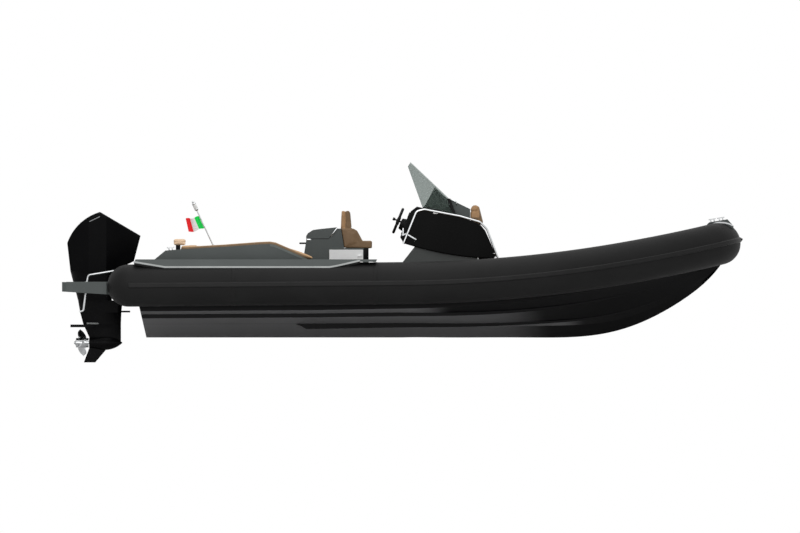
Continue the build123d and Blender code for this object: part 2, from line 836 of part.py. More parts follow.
with BuildPart() as steering_wheel:
    wheel_plane = Plane(origin=helm_point + face_out * wheel_distance, x_dir=(0, -1, 0), z_dir=face_out)
    with BuildSketch(Plane(origin=wheel_plane.origin, x_dir=(0, -1, 0), z_dir=wheel_plane.y_dir)):
        with Locations((wheel_radius, 0)):
            Circle(rim_radius)
    revolve(axis=Axis(wheel_plane.origin, face_out))
    with BuildSketch(wheel_plane.offset(-24)):
        Circle(wheel_hub_radius)
        Circle(shaft_radius + running_gap, mode=Mode.SUBTRACT)
    extrude(amount=40)
    with BuildSketch(wheel_plane.offset(-6)):
        with PolarLocations(0, 3, start_angle=90):
            with Locations((wheel_hub_radius - 4, 0)):
                Rectangle(wheel_radius - wheel_hub_radius + 4, 32, align=(Align.MIN, Align.CENTER))
    extrude(amount=12)
    with BuildSketch(wheel_plane.offset(rim_radius - 4)):
        with Locations((wheel_radius, 0)):
            Circle(10)
    extrude(amount=34)
    with BuildSketch(wheel_plane.offset(rim_radius + 26)):
        with Locations((wheel_radius, 0)):
            Circle(20)
    extrude(amount=30)
finish(steering_wheel, "steering_wheel")

lever_thickness = 12
lever_gap = 8
with BuildPart() as throttle:
    with BuildSketch(across(-console_half_width)):
        with Locations(*at_console([(166, 768)])):
            Circle(22)
    extrude(amount=lever_gap + lever_thickness / 2)
    with BuildSketch(across(-console_half_width - lever_gap)):
        outline(at_console([(176, 757), (182, 770), (50, 848), (42, 832)]))
        outline(at_console([(50, 848), (-6, 830), (-6, 814), (50, 832)]))
        outline(at_console([(-2, 815), (14, 815), (16, 911), (0, 911)]))
    extrude(amount=lever_thickness)
finish(throttle, "throttle")

with BuildPart() as front_backrest:
    with BuildSketch(Plane.XZ):
        outline(at_console([
            (888, brow_height(888) + 0.5), (888, 1150), (912, 1213), (955, 1219), (990, 1195), (1046, 980),
            (1036, 940), (shell_brow[0] + 4, shell_brow[1] + 0.5),
        ]))
    extrude(amount=380, both=True)
finish(front_backrest, "front_backrest")

with BuildPart() as front_seat_cushion:
    with BuildSketch(Plane.XY.offset(sofa_seat_z + seat_gap)):
        with Locations((console_x + 984, 0)):
            Rectangle(572, 824, align=(Align.MIN, Align.CENTER))
    extrude(amount=cushion_thickness)
finish(front_seat_cushion, "front_seat_cushion")

pad_gap = 12
pad_stations = [well_stations[0] + pad_gap, *well_stations[1:-1], well_stations[-1] - pad_gap]
pad_side = [(x, well_half_beam(x) - pad_gap) for x in pad_stations]
with BuildPart() as bow_sunpad:
    with BuildSketch(Plane.XY.offset(bow_plinth_z + seat_gap)):
        outline(pad_side + [(x, -y) for x, y in reversed(pad_side)])
        with Locations((well_stations[1] + 60, 0)):
            Rectangle(10, 3000, mode=Mode.SUBTRACT)
    extrude(amount=cushion_thickness)
finish(bow_sunpad, "bow_sunpad")

# Stern: platforms, rails and ladder
platform_depth_aft, platform_depth_fwd = 124, 161
platform_fwd_x = -3829
platform_gap = 8  # from the collar
tube_room = stern_run(tube_radius + platform_gap)
with BuildPart() as swim_platforms:
    with BuildSketch(Plane.XY.offset(platform_top)):
        outline([
            (platform_aft_x, -platform_inner_y), (platform_aft_x, -platform_outer_y),
            (platform_fwd_x - 20, -platform_outer_y), (platform_fwd_x - 20, -platform_arm_y),
            (transom_x, -platform_arm_y), (transom_x, -platform_inner_y),
        ])
    extrude(amount=-300)
    fillet(edges().filter_by(Axis.Z).group_by(Axis.X)[0], 60)
    with BuildSketch(Plane.XZ):
        outline([
            (platform_aft_x, platform_top - platform_depth_aft),
            (platform_fwd_x, platform_top - platform_depth_fwd),
            (transom_x, platform_top - platform_depth_fwd), (transom_x, -500), (platform_aft_x, -500),
        ])
    extrude(amount=2000, both=True, mode=Mode.SUBTRACT)
    split(bisect_by=transom_plane, keep=Keep.TOP)
    add(tube_room, mode=Mode.SUBTRACT)
    mirror(about=Plane.XZ)
finish(swim_platforms, "swim_platforms")

grab_radius = 12.5
grab_y = (platform_inner_y + platform_arm_y) / 2
grab_route = [(-3650, 0), (-3665, 159), (-4082, 90), (-4100, 0)]  # x, height over the platform
with BuildPart() as grab_rails:
    with BuildLine(across(-grab_y)) as grab_path:
        FilletPolyline(*[(x, platform_top + z) for x, z in grab_route], radius=35)
    with BuildSketch(Plane(origin=grab_path.line @ 0, z_dir=grab_path.line % 0)):
        Circle(grab_radius)
    sweep(path=grab_path.line)
    with BuildSketch(Plane.XY.offset(platform_top)):
        for x in (grab_route[0][0], grab_route[-1][0]):
            with Locations((x, -grab_y)):
                Circle(28)
    extrude(amount=6)
    with BuildSketch(Plane.XY.offset(platform_top)):
        Rectangle(12000, 4000)
    extrude(amount=-100, mode=Mode.SUBTRACT)
    mirror(about=Plane.XZ)
finish(grab_rails, "grab_rails")

ladder_half_width = 130
ladder_y = platform_inner_y + 200
ladder_route = [(-4112, 190), (-4147, -69), (-4190, -81)]
with BuildPart() as boarding_ladder:
    for side in (-1, 1):
        with BuildLine(across(-ladder_y + side * ladder_half_width)) as ladder_path:
            FilletPolyline(*ladder_route, radius=25)
        with BuildSketch(Plane(origin=ladder_path.line @ 0, z_dir=ladder_path.line % 0)):
            Circle(grab_radius)
        sweep(path=ladder_path.line)
    with BuildSketch(across(-ladder_y + ladder_half_width)):
        for x, z in [(-4132, 40), ladder_route[-1]]:
            with Locations((x, z)):
                Circle(grab_radius)
    extrude(amount=2 * ladder_half_width)
    add(swim_platforms.part, mode=Mode.SUBTRACT)
finish(boarding_ladder, "boarding_ladder")

# Ensign staff on the port lounge side, with its flag
staff_y = (lounge_outer_y + lounge_inner_y) / 2
staff_foot = Vector(-2450, staff_y, 752)
staff_top = Vector(-2723, staff_y, 1341)
staff_dir = (staff_top - staff_foot).normalized()
staff_radius = 9
with BuildPart() as flag_staff:
    with BuildSketch(Plane(origin=staff_foot - staff_dir * 10, z_dir=staff_dir)):
        Circle(staff_radius)
    extrude(amount=(staff_top - staff_foot).length + 10)
    with BuildSketch(Plane(origin=staff_foot - staff_dir * 10, z_dir=staff_dir)):
        Circle(17)
    extrude(amount=50)
    with BuildSketch(Plane(origin=staff_top - staff_dir * 62, z_dir=staff_dir)):
        Circle(14)
    extrude(amount=44)
    with Locations(staff_top):
        Sphere(17)
    add(lounge_sides.part, mode=Mode.SUBTRACT)
finish(flag_staff, "flag_staff")

flag_fly, flag_hoist = 215, 175
flag_share = 0.42  # up the staff to the flag's lower corner
flag_droop = 50
flag_thickness = 4
flag_foot = staff_foot + (staff_top - staff_foot) * flag_share
with BuildPart() as flag:
    with BuildSketch(Plane(origin=flag_foot, x_dir=(-1, 0, 0), z_dir=(0, 1, 0))):
        rise = staff_dir.Z * flag_hoist
        lean = -staff_dir.X * flag_hoist
        gap = (staff_radius + seat_gap) / staff_dir.Z
        outline([
            (gap, 0), (gap + lean, rise), (gap + flag_fly, rise - flag_droop), (gap + flag_fly, -flag_droop)
        ])
    extrude(amount=flag_thickness / 2, both=True)
finish(flag, "flag")

# Outboard motor: clamp bracket on the transom
plate_outer_y = plate_inner_y + plate_thickness
boss_radius = 36


def transom_face(z):
    return transom_x - transom_rake * (z - keel_z)


with BuildPart() as clamp_bracket:
    with BuildSketch(across(plate_outer_y)):
        outline([
            (transom_face(transom_top_z), transom_top_z), (-3430, transom_top_z), (-3430, transom_top_z + 18),
            (tilt_x + 30, tilt_z + 26), (tilt_x - 30, tilt_z + 26), (tilt_x - boss_radius, tilt_z),
            (-3572, 200), (-3584, -8), (-3548, -8), (transom_face(90), 90),
        ])
        with Locations((tilt_x, tilt_z)):
            Circle(boss_radius)
            Circle(tilt_pin_radius + running_gap, mode=Mode.SUBTRACT)
    extrude(amount=plate_thickness)
    mirror(about=Plane.XZ)
    with BuildSketch(across(plate_inner_y)):
        with Locations((-3566, 15)):
            Circle(16)
    extrude(amount=2 * plate_inner_y)
finish(clamp_bracket, "clamp_bracket")

# Swivel bracket: turns on the tilt pin and carries the steering pin
swivel_top_z, swivel_low_z = 398, 65
swivel_radius = 62
swivel_half_width = plate_inner_y - 6
with BuildPart() as swivel_bracket:
    with BuildSketch(Plane.XZ):
        outline([
            (tilt_x, tilt_z), (tilt_x + 10, tilt_z - 30), (-3590, 250), (-3628, swivel_low_z),
            (steer_x, swivel_low_z), (steer_x, swivel_top_z - 13), (tilt_x - 60, swivel_top_z - 13),
            (tilt_x - 30, tilt_z),
        ])
    extrude(amount=swivel_half_width - 30, both=True)
    with BuildSketch(Plane.XY.offset(swivel_low_z)):
        with Locations((steer_x, 0)):
            Circle(swivel_radius)
    extrude(amount=swivel_top_z - swivel_low_z)
    with BuildSketch(across(swivel_half_width)):
        with Locations((tilt_x, tilt_z)):
            Circle(boss_radius)
    extrude(amount=2 * swivel_half_width)
    with BuildSketch(across(plate_outer_y + 8)):
        with Locations((tilt_x, tilt_z)):
            Circle(tilt_pin_radius)
    extrude(amount=2 * (plate_outer_y + 8))
    with BuildSketch(Plane.XY.offset(swivel_low_z)):
        with Locations((steer_x, 0)):
            Circle(steer_pin_radius + running_gap)
    extrude(amount=swivel_top_z - swivel_low_z, mode=Mode.SUBTRACT)
finish(swivel_bracket, "swivel_bracket")

# Motor: cowl over the engine block, apron with the steering pin, gearcase and propeller
cowl_peak, cowl_back, cowl_tail = (-3931, 1213), (-4212, 1046), (-4359, 807)
cowl_front = [(-3405, 903), (-3492, 570), (-3640, 500), (-3720, cowl_floor_z)]  # x, z from the brow down
cowl_plan = [(-3390, 130), (-3480, 150), (-3850, cowl_half_width), (-4080, cowl_half_width), (-4380, 255)]
cowl_round = 34
cowl_wall = 70
with BuildPart() as motor_cowl:
    with BuildSketch(Plane.XZ):
        with BuildLine():
            ThreePointArc(cowl_tail, cowl_back, cowl_peak)
            Polyline(cowl_peak, *cowl_front, (-4317, cowl_floor_z), cowl_tail)
        make_face()
    extrude(amount=cowl_half_width, both=True)
    with BuildSketch(Plane.XY):
        outline(cowl_plan + [(x, -y) for x, y in reversed(cowl_plan)])
    extrude(amount=2000, mode=Mode.INTERSECT)
    above_floor = edges().filter_by(lambda edge: edge.center().Z > cowl_floor_z + 1)
    fillet(above_floor.filter_by(lambda edge: abs(edge.center().Y) > 1), cowl_round)
    with BuildSketch(Plane.XZ):
        outline([
            (-3931, 1130), (-3760, 1030), (-3760, 470), (-3790, cowl_floor_z - 1), (-4250, cowl_floor_z - 1),
            (-4280, 800), (-4170, 985),
        ])
    extrude(amount=cowl_half_width - cowl_wall, both=True, mode=Mode.SUBTRACT)
finish(motor_cowl, "motor_cowl")

with BuildPart() as powerhead:
    with BuildSketch(Plane.XY.offset(cowl_floor_z)):
        with Locations((-4010, 0)):
            Rectangle(400, 330)
    extrude(amount=470)
finish(powerhead, "powerhead")

apron_break_z = swivel_low_z - 3  # the swivel bracket stands just above this
yoke_radius = 58
apron_front_x = steer_x - 89
apron_inset = 45  # from the cowl's widest part
apron_sections = [  # height, aft end, front end, width, corner radius
    (cowl_floor_z, -4317, apron_front_x, 2 * (cowl_half_width - apron_inset), 90),
    (apron_break_z, -4218, apron_front_x, 190, 80),
]
leg_top_sections = [
    (apron_break_z, -4218, -3640, 150, 70),
    (leg_bottom_z, -4190, -3654, 132, 62),
]
stub_front_x, stub_length, stub_z = -3540, 160, -83
with BuildPart() as motor_apron:
    for sections in (apron_sections, leg_top_sections):
        for z, aft, front, width, corner in sections:
            with BuildSketch(Plane.XY.offset(z)):
                with Locations(((aft + front) / 2, 0)):
                    RectangleRounded(front - aft, width, corner)
        loft()
    # steering pin with its upper yoke, and the stub below the pin
    with BuildSketch(Plane.XY.offset(apron_break_z)):
        with Locations((steer_x, 0)):
            Circle(steer_pin_radius)
    extrude(amount=cowl_floor_z - apron_break_z)
    with BuildSketch(Plane.XY.offset(swivel_top_z + 7)):
        with Locations((steer_x, 0)):
            Circle(yoke_radius)
            Rectangle(150, 2 * yoke_radius, align=(Align.MAX, Align.CENTER))
    extrude(amount=cowl_floor_z - swivel_top_z - 7)
    with BuildSketch(Plane.YZ.offset(stub_front_x)):
        with Locations((0, stub_z)):
            RectangleRounded(40, 23, 8)
    extrude(amount=-stub_length)
finish(motor_apron, "motor_apron")

leg_sections = [  # centre x, height, length, half width of the streamlined leg
    (-3922, leg_bottom_z, 536, 64),
    (-3905, -245, 490, 58),
    (-3850, prop_axis_z, 380, 46),
]
torpedo_aft_x, torpedo_wide_x, torpedo_nose_x = -4075, -3960, -3640
torpedo_top = prop_axis_z + torpedo_radius
vent_plate_z, vent_plate_thickness = -287, 36
vent_plate_aft_x = -4317
skeg_half_thickness = 8
with BuildPart() as gearcase:
    for x, z, length, half_width in leg_sections:
        with BuildSketch(Plane(origin=(x, 0, z))):
            with BuildLine():
                ThreePointArc((-length / 2, 0), (length * 0.05, half_width), (length / 2, 0))
                ThreePointArc((-length / 2, 0), (length * 0.05, -half_width), (length / 2, 0))
            make_face()
    loft(ruled=True)
    with BuildSketch(Plane.XY.offset(vent_plate_z)):
        with BuildLine():
            Polyline((vent_plate_aft_x, -95), (vent_plate_aft_x, 95))
            ThreePointArc((vent_plate_aft_x, 95), (-4150, 150), (-3980, 110))
            Polyline((-3980, 110), (-3700, 30), (-3700, -30), (-3980, -110))
            ThreePointArc((-3980, -110), (-4150, -150), (vent_plate_aft_x, -95))
        make_face()
    extrude(amount=vent_plate_thickness)
    with BuildSketch(Plane.XZ):
        with BuildLine():
            Polyline(
                (torpedo_aft_x, prop_axis_z), (torpedo_aft_x, torpedo_top - 16), (torpedo_wide_x, torpedo_top)
            )
            ThreePointArc(
                (torpedo_wide_x, torpedo_top), (-3720, torpedo_top - 22), (torpedo_nose_x, prop_axis_z)
            )
            Line((torpedo_nose_x, prop_axis_z), (torpedo_aft_x, prop_axis_z))
        make_face()
    revolve(axis=Axis((prop_x, 0, prop_axis_z), (1, 0, 0)))
    with BuildSketch(Plane.XZ):
        outline([(-3820, -540), (-3994, -744), (-4143, -744), (-4066, -540)])
    extrude(amount=skeg_half_thickness, both=True)
    # bearing of the propeller's shaft
    with BuildSketch(Plane.YZ.offset(torpedo_aft_x)):
        with Locations((0, prop_axis_z)):
            Circle(prop_shaft_radius + running_gap)
    extrude(amount=bearing_depth, mode=Mode.SUBTRACT)
finish(gearcase, "gearcase")

blade_table = [  # radius, chord, thickness, pitch angle
    (hub_radius - 12, 120, 16, 58),
    (115, 165, 10, 42),
    (prop_radius - 8, 95, 5, 28),
]
hub_front_x, hub_aft_x = -4081, -4245
with BuildPart() as propeller:
    with BuildSketch(Plane.YZ.offset(hub_aft_x)):
        with Locations((0, prop_axis_z)):
            Circle(hub_radius)
    extrude(amount=hub_front_x - hub_aft_x)
    with BuildSketch(Plane.YZ.offset(hub_front_x)):
        with Locations((0, prop_axis_z)):
            Circle(prop_shaft_radius)
    extrude(amount=torpedo_aft_x - hub_front_x + bearing_depth - 2)
    for blade in range(blade_count):
        angle = math.radians(360 / blade_count * blade + 30)
        radial = Vector(0, math.sin(angle), math.cos(angle))
        tangent = Vector(0, math.cos(angle), -math.sin(angle))
        sections = []
        for radius, chord, thickness, pitch in blade_table:
            lean = math.radians(pitch)
            chord_dir = Vector(math.sin(lean), 0, 0) + tangent * math.cos(lean)
            centre = Vector(prop_x, 0, prop_axis_z) + radial * radius
            with BuildSketch(Plane(origin=centre, x_dir=chord_dir, z_dir=radial)) as section:
                Ellipse(chord / 2, thickness / 2)
            sections.append(section.sketch)
        loft(sections=sections)
finish(propeller, "propeller")
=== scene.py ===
import math

import bmesh
import bpy
from mathutils import Matrix, Vector


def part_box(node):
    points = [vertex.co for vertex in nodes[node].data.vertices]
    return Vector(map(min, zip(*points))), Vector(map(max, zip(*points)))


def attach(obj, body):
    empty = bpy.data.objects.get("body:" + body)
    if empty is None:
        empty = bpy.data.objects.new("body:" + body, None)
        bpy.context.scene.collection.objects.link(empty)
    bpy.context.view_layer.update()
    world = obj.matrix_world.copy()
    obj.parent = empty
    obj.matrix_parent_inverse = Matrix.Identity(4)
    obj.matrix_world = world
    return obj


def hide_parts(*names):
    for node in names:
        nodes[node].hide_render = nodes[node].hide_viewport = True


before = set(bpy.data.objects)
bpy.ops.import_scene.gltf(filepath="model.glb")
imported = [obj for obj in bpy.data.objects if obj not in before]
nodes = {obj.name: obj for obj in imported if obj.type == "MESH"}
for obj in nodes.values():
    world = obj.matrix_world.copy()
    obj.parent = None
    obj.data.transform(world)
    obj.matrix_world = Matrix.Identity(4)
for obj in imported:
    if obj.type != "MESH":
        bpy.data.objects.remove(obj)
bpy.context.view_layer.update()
scene = bpy.context.scene
scene.view_settings.view_transform = "Standard"
print("frame loaded,", len(nodes), "nodes")


def linear(hexColour):
    parts = [int(hexColour[i:i + 2], 16) / 255 for i in (1, 3, 5)]
    return [c / 12.92 if c <= 0.04045 else ((c + 0.055) / 1.055) ** 2.4 for c in parts] + [1]


def addNode(tree, kind, links=(), inputs=None, **settings):
    node = tree.nodes.new(kind)
    for name, value in settings.items():
        setattr(node, name, value)
    for name, value in (inputs or {}).items():
        node.inputs[name].default_value = value
    for name, source in links:
        tree.links.new(source, node.inputs[name])
    return node


# Materials: the pattern that all finishes share
patternLook = {
    "ramp": (0.35, 0.65), "patchDetail": 3, "grainDetail": 6,
    "depthShare": 0.25,  # the bump's depth as a share of the grain
}
mixSockets = {"share": 0, "first": 6, "second": 7, "result": 2}  # a colour mix's own sockets


def newMaterial(name):
    material = bpy.data.materials.new(name)
    material.use_nodes = True
    return material, material.node_tree, material.node_tree.nodes["Principled BSDF"]


def makeFinish(name, look):
    material, tree, shader = newMaterial(name)
    for socket, value in look.get("sockets", {}).items():
        shader.inputs[socket].default_value = value
    coords = addNode(tree, "ShaderNodeTexCoord")
    place = coords.outputs["Object"]
    # slow patches of shade over the whole surface
    patches = addNode(
        tree, "ShaderNodeTexNoise", [("Vector", place)],
        {"Scale": 1000 / look["patchMm"], "Detail": patternLook["patchDetail"]},
    ).outputs["Fac"]
    tint = addNode(tree, "ShaderNodeValToRGB", [("Fac", patches)])
    for element, position, shade in zip(tint.color_ramp.elements, patternLook["ramp"], look["shades"]):
        element.position, element.color = position, linear(shade)
    colour = tint.outputs["Color"]
    if "second" in look:
        # a second shade, painted on: on the faces that look down it is painted reflection of the floor
        # below, and where the piece's own attribute says it is a painted highlight along a cushion's top
        if "paintedReflectionFacing" in look:
            start, end = look["paintedReflectionFacing"]
            normal = addNode(tree, "ShaderNodeSeparateXYZ", [("Vector", coords.outputs["Normal"])])
            share = addNode(
                tree, "ShaderNodeMapRange", [("Value", normal.outputs["Z"])],
                {"From Min": start, "From Max": end}, interpolation_type="SMOOTHSTEP",
            ).outputs["Result"]
        else:
            share = addNode(tree, "ShaderNodeAttribute", attribute_name=look["attribute"]).outputs["Fac"]
        colour = addNode(
            tree, "ShaderNodeMix", [(mixSockets["share"], share), (mixSockets["first"], colour)],
            {mixSockets["second"]: linear(look["second"])}, data_type="RGBA",
        ).outputs[mixSockets["result"]]
    tree.links.new(colour, shader.inputs["Base Color"])
    # the surface's own grain
    grain = addNode(
        tree, "ShaderNodeTexNoise", [("Vector", place)],
        {"Scale": 1000 / look["grainMm"], "Detail": patternLook["grainDetail"]},
    ).outputs["Fac"]
    smoothest, roughest = look["roughness"]
    gloss = addNode(
        tree, "ShaderNodeMapRange", [("Value", grain)], {"To Min": smoothest, "To Max": roughest}
    )
    tree.links.new(gloss.outputs["Result"], shader.inputs["Roughness"])
    depth = look["grainMm"] / 1000 * patternLook["depthShare"]
    bump = addNode(
        tree, "ShaderNodeBump", [("Height", grain)], {"Strength": look["bump"], "Distance": depth}
    )
    tree.links.new(bump.outputs["Normal"], shader.inputs["Normal"])
    return material


# neoprene-coated polyester, calendered: dull black with a fine pebble, 4 mm so that it shows
tubeFabric = makeFinish("coatedPolyester", {
    "shades": ("#141414", "#181818"), "patchMm": 420, "grainMm": 4, "roughness": (0.5, 0.66), "bump": 0.25,
    "sockets": {"Specular IOR Level": 0.15},
})
# extruded rubber, smoother than the tube
strakeRubber = makeFinish("extrudedRubber", {
    "shades": ("#131313", "#171717"), "patchMm": 200, "grainMm": 6, "roughness": (0.42, 0.55), "bump": 0.15,
    "sockets": {"Specular IOR Level": 0.2},
})
# black gelcoat on glass fibre, polished; the faces that look down are painted grey, less where the bottom
# grows steep: painted reflection of the pale floor
hullGelcoat = makeFinish("gelcoatPaintedFloorReflection", {
    "shades": ("#080809", "#0b0b0c"), "second": "#686869", "paintedReflectionFacing": (-0.87, -0.945),
    "patchMm": 900, "grainMm": 3, "roughness": (0.27, 0.31), "bump": 0.01,
    "sockets": {"Specular IOR Level": 0.1},
})
# grey gelcoat of the deck mouldings, satin
greyGelcoat = makeFinish("greyGelcoat", {
    "shades": ("#434847", "#494e4d"), "patchMm": 600, "grainMm": 12, "roughness": (0.34, 0.46), "bump": 0.06,
    "sockets": {"Specular IOR Level": 0.3},
})
# the same gelcoat, darker: console pedestal and hoods
darkGelcoat = makeFinish("darkGelcoat", {
    "shades": ("#464948", "#4b4e4d"), "patchMm": 500, "grainMm": 12, "roughness": (0.36, 0.48), "bump": 0.06,
    "sockets": {"Specular IOR Level": 0.25},
})
# black gelcoat of the console shell, high gloss
blackGelcoat = makeFinish("blackGelcoat", {
    "shades": ("#070707", "#0a0a0a"), "patchMm": 500, "grainMm": 20, "roughness": (0.16, 0.26), "bump": 0.03,
    "sockets": {"Specular IOR Level": 0.06},
})
# marine vinyl over foam: leather-like pebble, slight sheen
brownVinyl = makeFinish("brownVinyl", {
    "shades": ("#725a40", "#7b6247"), "patchMm": 160, "grainMm": 5, "roughness": (0.45, 0.62), "bump": 0.35,
    "sockets": {"Specular IOR Level": 0.3, "Sheen Weight": 0.05},
})
# the same vinyl painted lighter, on the seats' panels: painted light on the helm headrest's lit aft side,
# and the same lighter copy on the front backrest's panel
paintedLitVinyl = makeFinish("brownVinylPaintedLit", {
    "shades": ("#a07c57", "#ae8963"), "patchMm": 120, "grainMm": 5, "roughness": (0.45, 0.6), "bump": 0.35,
    "sockets": {"Specular IOR Level": 0.3, "Sheen Weight": 0.05},
})
# the lounge's vinyl: brown sides, painted lighter along the top: a painted highlight where the top catches
# the light
loungeVinyl = makeFinish("loungeVinyl", {
    "shades": ("#725a40", "#7b6247"), "second": "#c29c72", "attribute": "paintedTopHighlight",
    "patchMm": 160, "grainMm": 5, "roughness": (0.45, 0.62), "bump": 0.35,
    "sockets": {"Specular IOR Level": 0.3, "Sheen Weight": 0.05},
})
# and the palest shade, on the headrests
tanVinyl = makeFinish("tanVinyl", {
    "shades": ("#dcbd9d", "#e6c9aa"), "patchMm": 120, "grainMm": 5, "roughness": (0.45, 0.6), "bump": 0.3,
    "sockets": {"Specular IOR Level": 0.3},
})
# polished stainless tube and castings
polishedSteel = makeFinish("polishedStainless", {
    "shades": ("#c4c6c7", "#d6d8d9"), "patchMm": 80, "grainMm": 3, "roughness": (0.1, 0.22), "bump": 0.03,
    "sockets": {"Metallic": 1.0},
})
# satin paint on cast aluminium: the motor's brackets, apron and gearcase
blackPaint = makeFinish("blackSatinPaint", {
    "shades": ("#070708", "#0b0b0c"), "patchMm": 150, "grainMm": 4, "roughness": (0.34, 0.46), "bump": 0.08,
    "sockets": {"Specular IOR Level": 0.08},
})
# painted and lacquered cowl
cowlLacquer = makeFinish("blackLacquer", {
    "shades": ("#050506", "#080809"), "patchMm": 260, "grainMm": 25, "roughness": (0.24, 0.3), "bump": 0.01,
    "sockets": {"Specular IOR Level": 0.04},
})
# silver lacquer of the cowl's line: a painted highlight along the cowl's upper edge
paintedHighlightLacquer = makeFinish("paintedHighlightLacquer", {
    "shades": ("#8b8d8e", "#989a9b"), "patchMm": 90, "grainMm": 8, "roughness": (0.3, 0.4), "bump": 0.02,
    "sockets": {"Specular IOR Level": 0.3},
})
# satin paint of the hood, which is seen through the smoked glass; painted paler than the hood is: painted
# light in place of the light that the glass keeps off it
hoodPaintedLight = makeFinish("hoodPaintedLight", {
    "shades": ("#6d7671", "#757d79"), "patchMm": 300, "grainMm": 6, "roughness": (0.5, 0.6), "bump": 0.05,
    "sockets": {"Specular IOR Level": 0.2},
})
# cast aluminium
castAluminium = makeFinish("castAluminium", {
    "shades": ("#8a8c8e", "#9fa1a3"), "patchMm": 60, "grainMm": 3, "roughness": (0.45, 0.6), "bump": 0.3,
    "sockets": {"Metallic": 0.9},
})
# white acrylic panel of the fridge door
paleMoulding = makeFinish("paleMoulding", {
    "shades": ("#eceded", "#f4f5f5"), "patchMm": 300, "grainMm": 10, "roughness": (0.35, 0.45), "bump": 0.04,
    "sockets": {"Specular IOR Level": 0.3},
})
# satin anodised aluminium of the trim strips
trimAluminium = makeFinish("anodisedAluminium", {
    "shades": ("#9b9e9d", "#a8abaa"), "patchMm": 200, "grainMm": 8, "roughness": (0.4, 0.5), "bump": 0.03,
    "sockets": {"Specular IOR Level": 0.3},
})
# moulded non-skid: grit of 9 mm, coarser than the real one so that it shows
nonSkid = makeFinish("mouldedNonSkid", {
    "shades": ("#5d6260", "#6a706d"), "patchMm": 250, "grainMm": 9, "roughness": (0.6, 0.8), "bump": 0.8,
    "sockets": {"Specular IOR Level": 0.2},
})
# polyurethane grip of the wheel
gripRubber = makeFinish("gripPolyurethane", {
    "shades": ("#0a0a0a", "#101010"), "patchMm": 40, "grainMm": 3, "roughness": (0.5, 0.65), "bump": 0.4,
    "sockets": {"Specular IOR Level": 0.15},
})
# black display glass
displayGlass = makeFinish("displayGlass", {
    "shades": ("#060708", "#0a0c0e"), "patchMm": 90, "grainMm": 40, "roughness": (0.06, 0.1), "bump": 0.01,
    "sockets": {"Specular IOR Level": 0.4},
})
# opal acrylic of the all-round light
opalAcrylic = makeFinish("opalAcrylic", {
    "shades": ("#e2e4e2", "#ecedec"), "patchMm": 30, "grainMm": 10, "roughness": (0.25, 0.35), "bump": 0.02,
    "sockets": {"Specular IOR Level": 0.4},
})


# smoked acrylic: two thin sheets show the background as a grey green
glassLook = {
    "shades": ("#bbc0be", "#c1c6c4"), "ior": 1.05, "roughness": 0.02, "hazeMm": 300, "hazeDetail": 2,
}


def makeSmokedAcrylic(look):
    material, tree, shader = newMaterial("smokedAcrylic")
    shader.inputs["Transmission Weight"].default_value = 1
    shader.inputs["IOR"].default_value = look["ior"]
    shader.inputs["Roughness"].default_value = look["roughness"]
    place = addNode(tree, "ShaderNodeTexCoord").outputs["Object"]
    haze = addNode(
        tree, "ShaderNodeTexNoise", [("Vector", place)],
        {"Scale": 1000 / look["hazeMm"], "Detail": look["hazeDetail"]},
    )
    tint = addNode(tree, "ShaderNodeValToRGB", [("Fac", haze.outputs["Fac"])])
    for element, shade in zip(tint.color_ramp.elements, look["shades"]):
        element.color = linear(shade)
    tree.links.new(tint.outputs["Color"], shader.inputs["Base Color"])
    return material


# oiled teak planking laid fore and aft, with black caulking
teakLook = {
    "plankMm": 62, "caulkMm": 6, "grainMm": 14, "grainDetail": 5, "stretch": 0.06,
    "shades": ("#6f5437", "#a4835b"), "caulk": "#151413", "roughness": 0.6, "bump": 0.4, "grooveM": 0.001,
}


def makeTeak(look):
    material, tree, shader = newMaterial("oiledTeak")
    shader.inputs["Roughness"].default_value = look["roughness"]
    place = addNode(tree, "ShaderNodeTexCoord").outputs["Object"]
    across = addNode(tree, "ShaderNodeSeparateXYZ", [("Vector", place)]).outputs["Y"]
    planks = addNode(
        tree, "ShaderNodeMath", [(0, across)], {1: 1000 / look["plankMm"]}, operation="MULTIPLY"
    ).outputs["Value"]
    inPlank = addNode(tree, "ShaderNodeMath", [(0, planks)], operation="FRACT").outputs["Value"]
    caulk = addNode(
        tree, "ShaderNodeMath", [(0, inPlank)], {1: look["caulkMm"] / look["plankMm"]},
        operation="LESS_THAN",
    ).outputs["Value"]
    # long grain: the noise is squeezed along the plank
    stretched = addNode(
        tree, "ShaderNodeMapping", [("Vector", place)], {"Scale": (look["stretch"], 1, 1)}
    ).outputs["Vector"]
    grain = addNode(
        tree, "ShaderNodeTexNoise", [("Vector", stretched)],
        {"Scale": 1000 / look["grainMm"], "Detail": look["grainDetail"]},
    ).outputs["Fac"]
    wood = addNode(tree, "ShaderNodeValToRGB", [("Fac", grain)])
    for element, shade in zip(wood.color_ramp.elements, look["shades"]):
        element.color = linear(shade)
    mixed = addNode(
        tree, "ShaderNodeMix", [(mixSockets["share"], caulk), (mixSockets["first"], wood.outputs["Color"])],
        {mixSockets["second"]: linear(look["caulk"])}, data_type="RGBA",
    )
    tree.links.new(mixed.outputs[mixSockets["result"]], shader.inputs["Base Color"])
    bump = addNode(
        tree, "ShaderNodeBump", [("Height", caulk)],
        {"Strength": look["bump"], "Distance": look["grooveM"]}, invert=True,
    )
    tree.links.new(bump.outputs["Normal"], shader.inputs["Normal"])
    return material


smokedAcrylic = makeSmokedAcrylic(glassLook)
oiledTeak = makeTeak(teakLook)

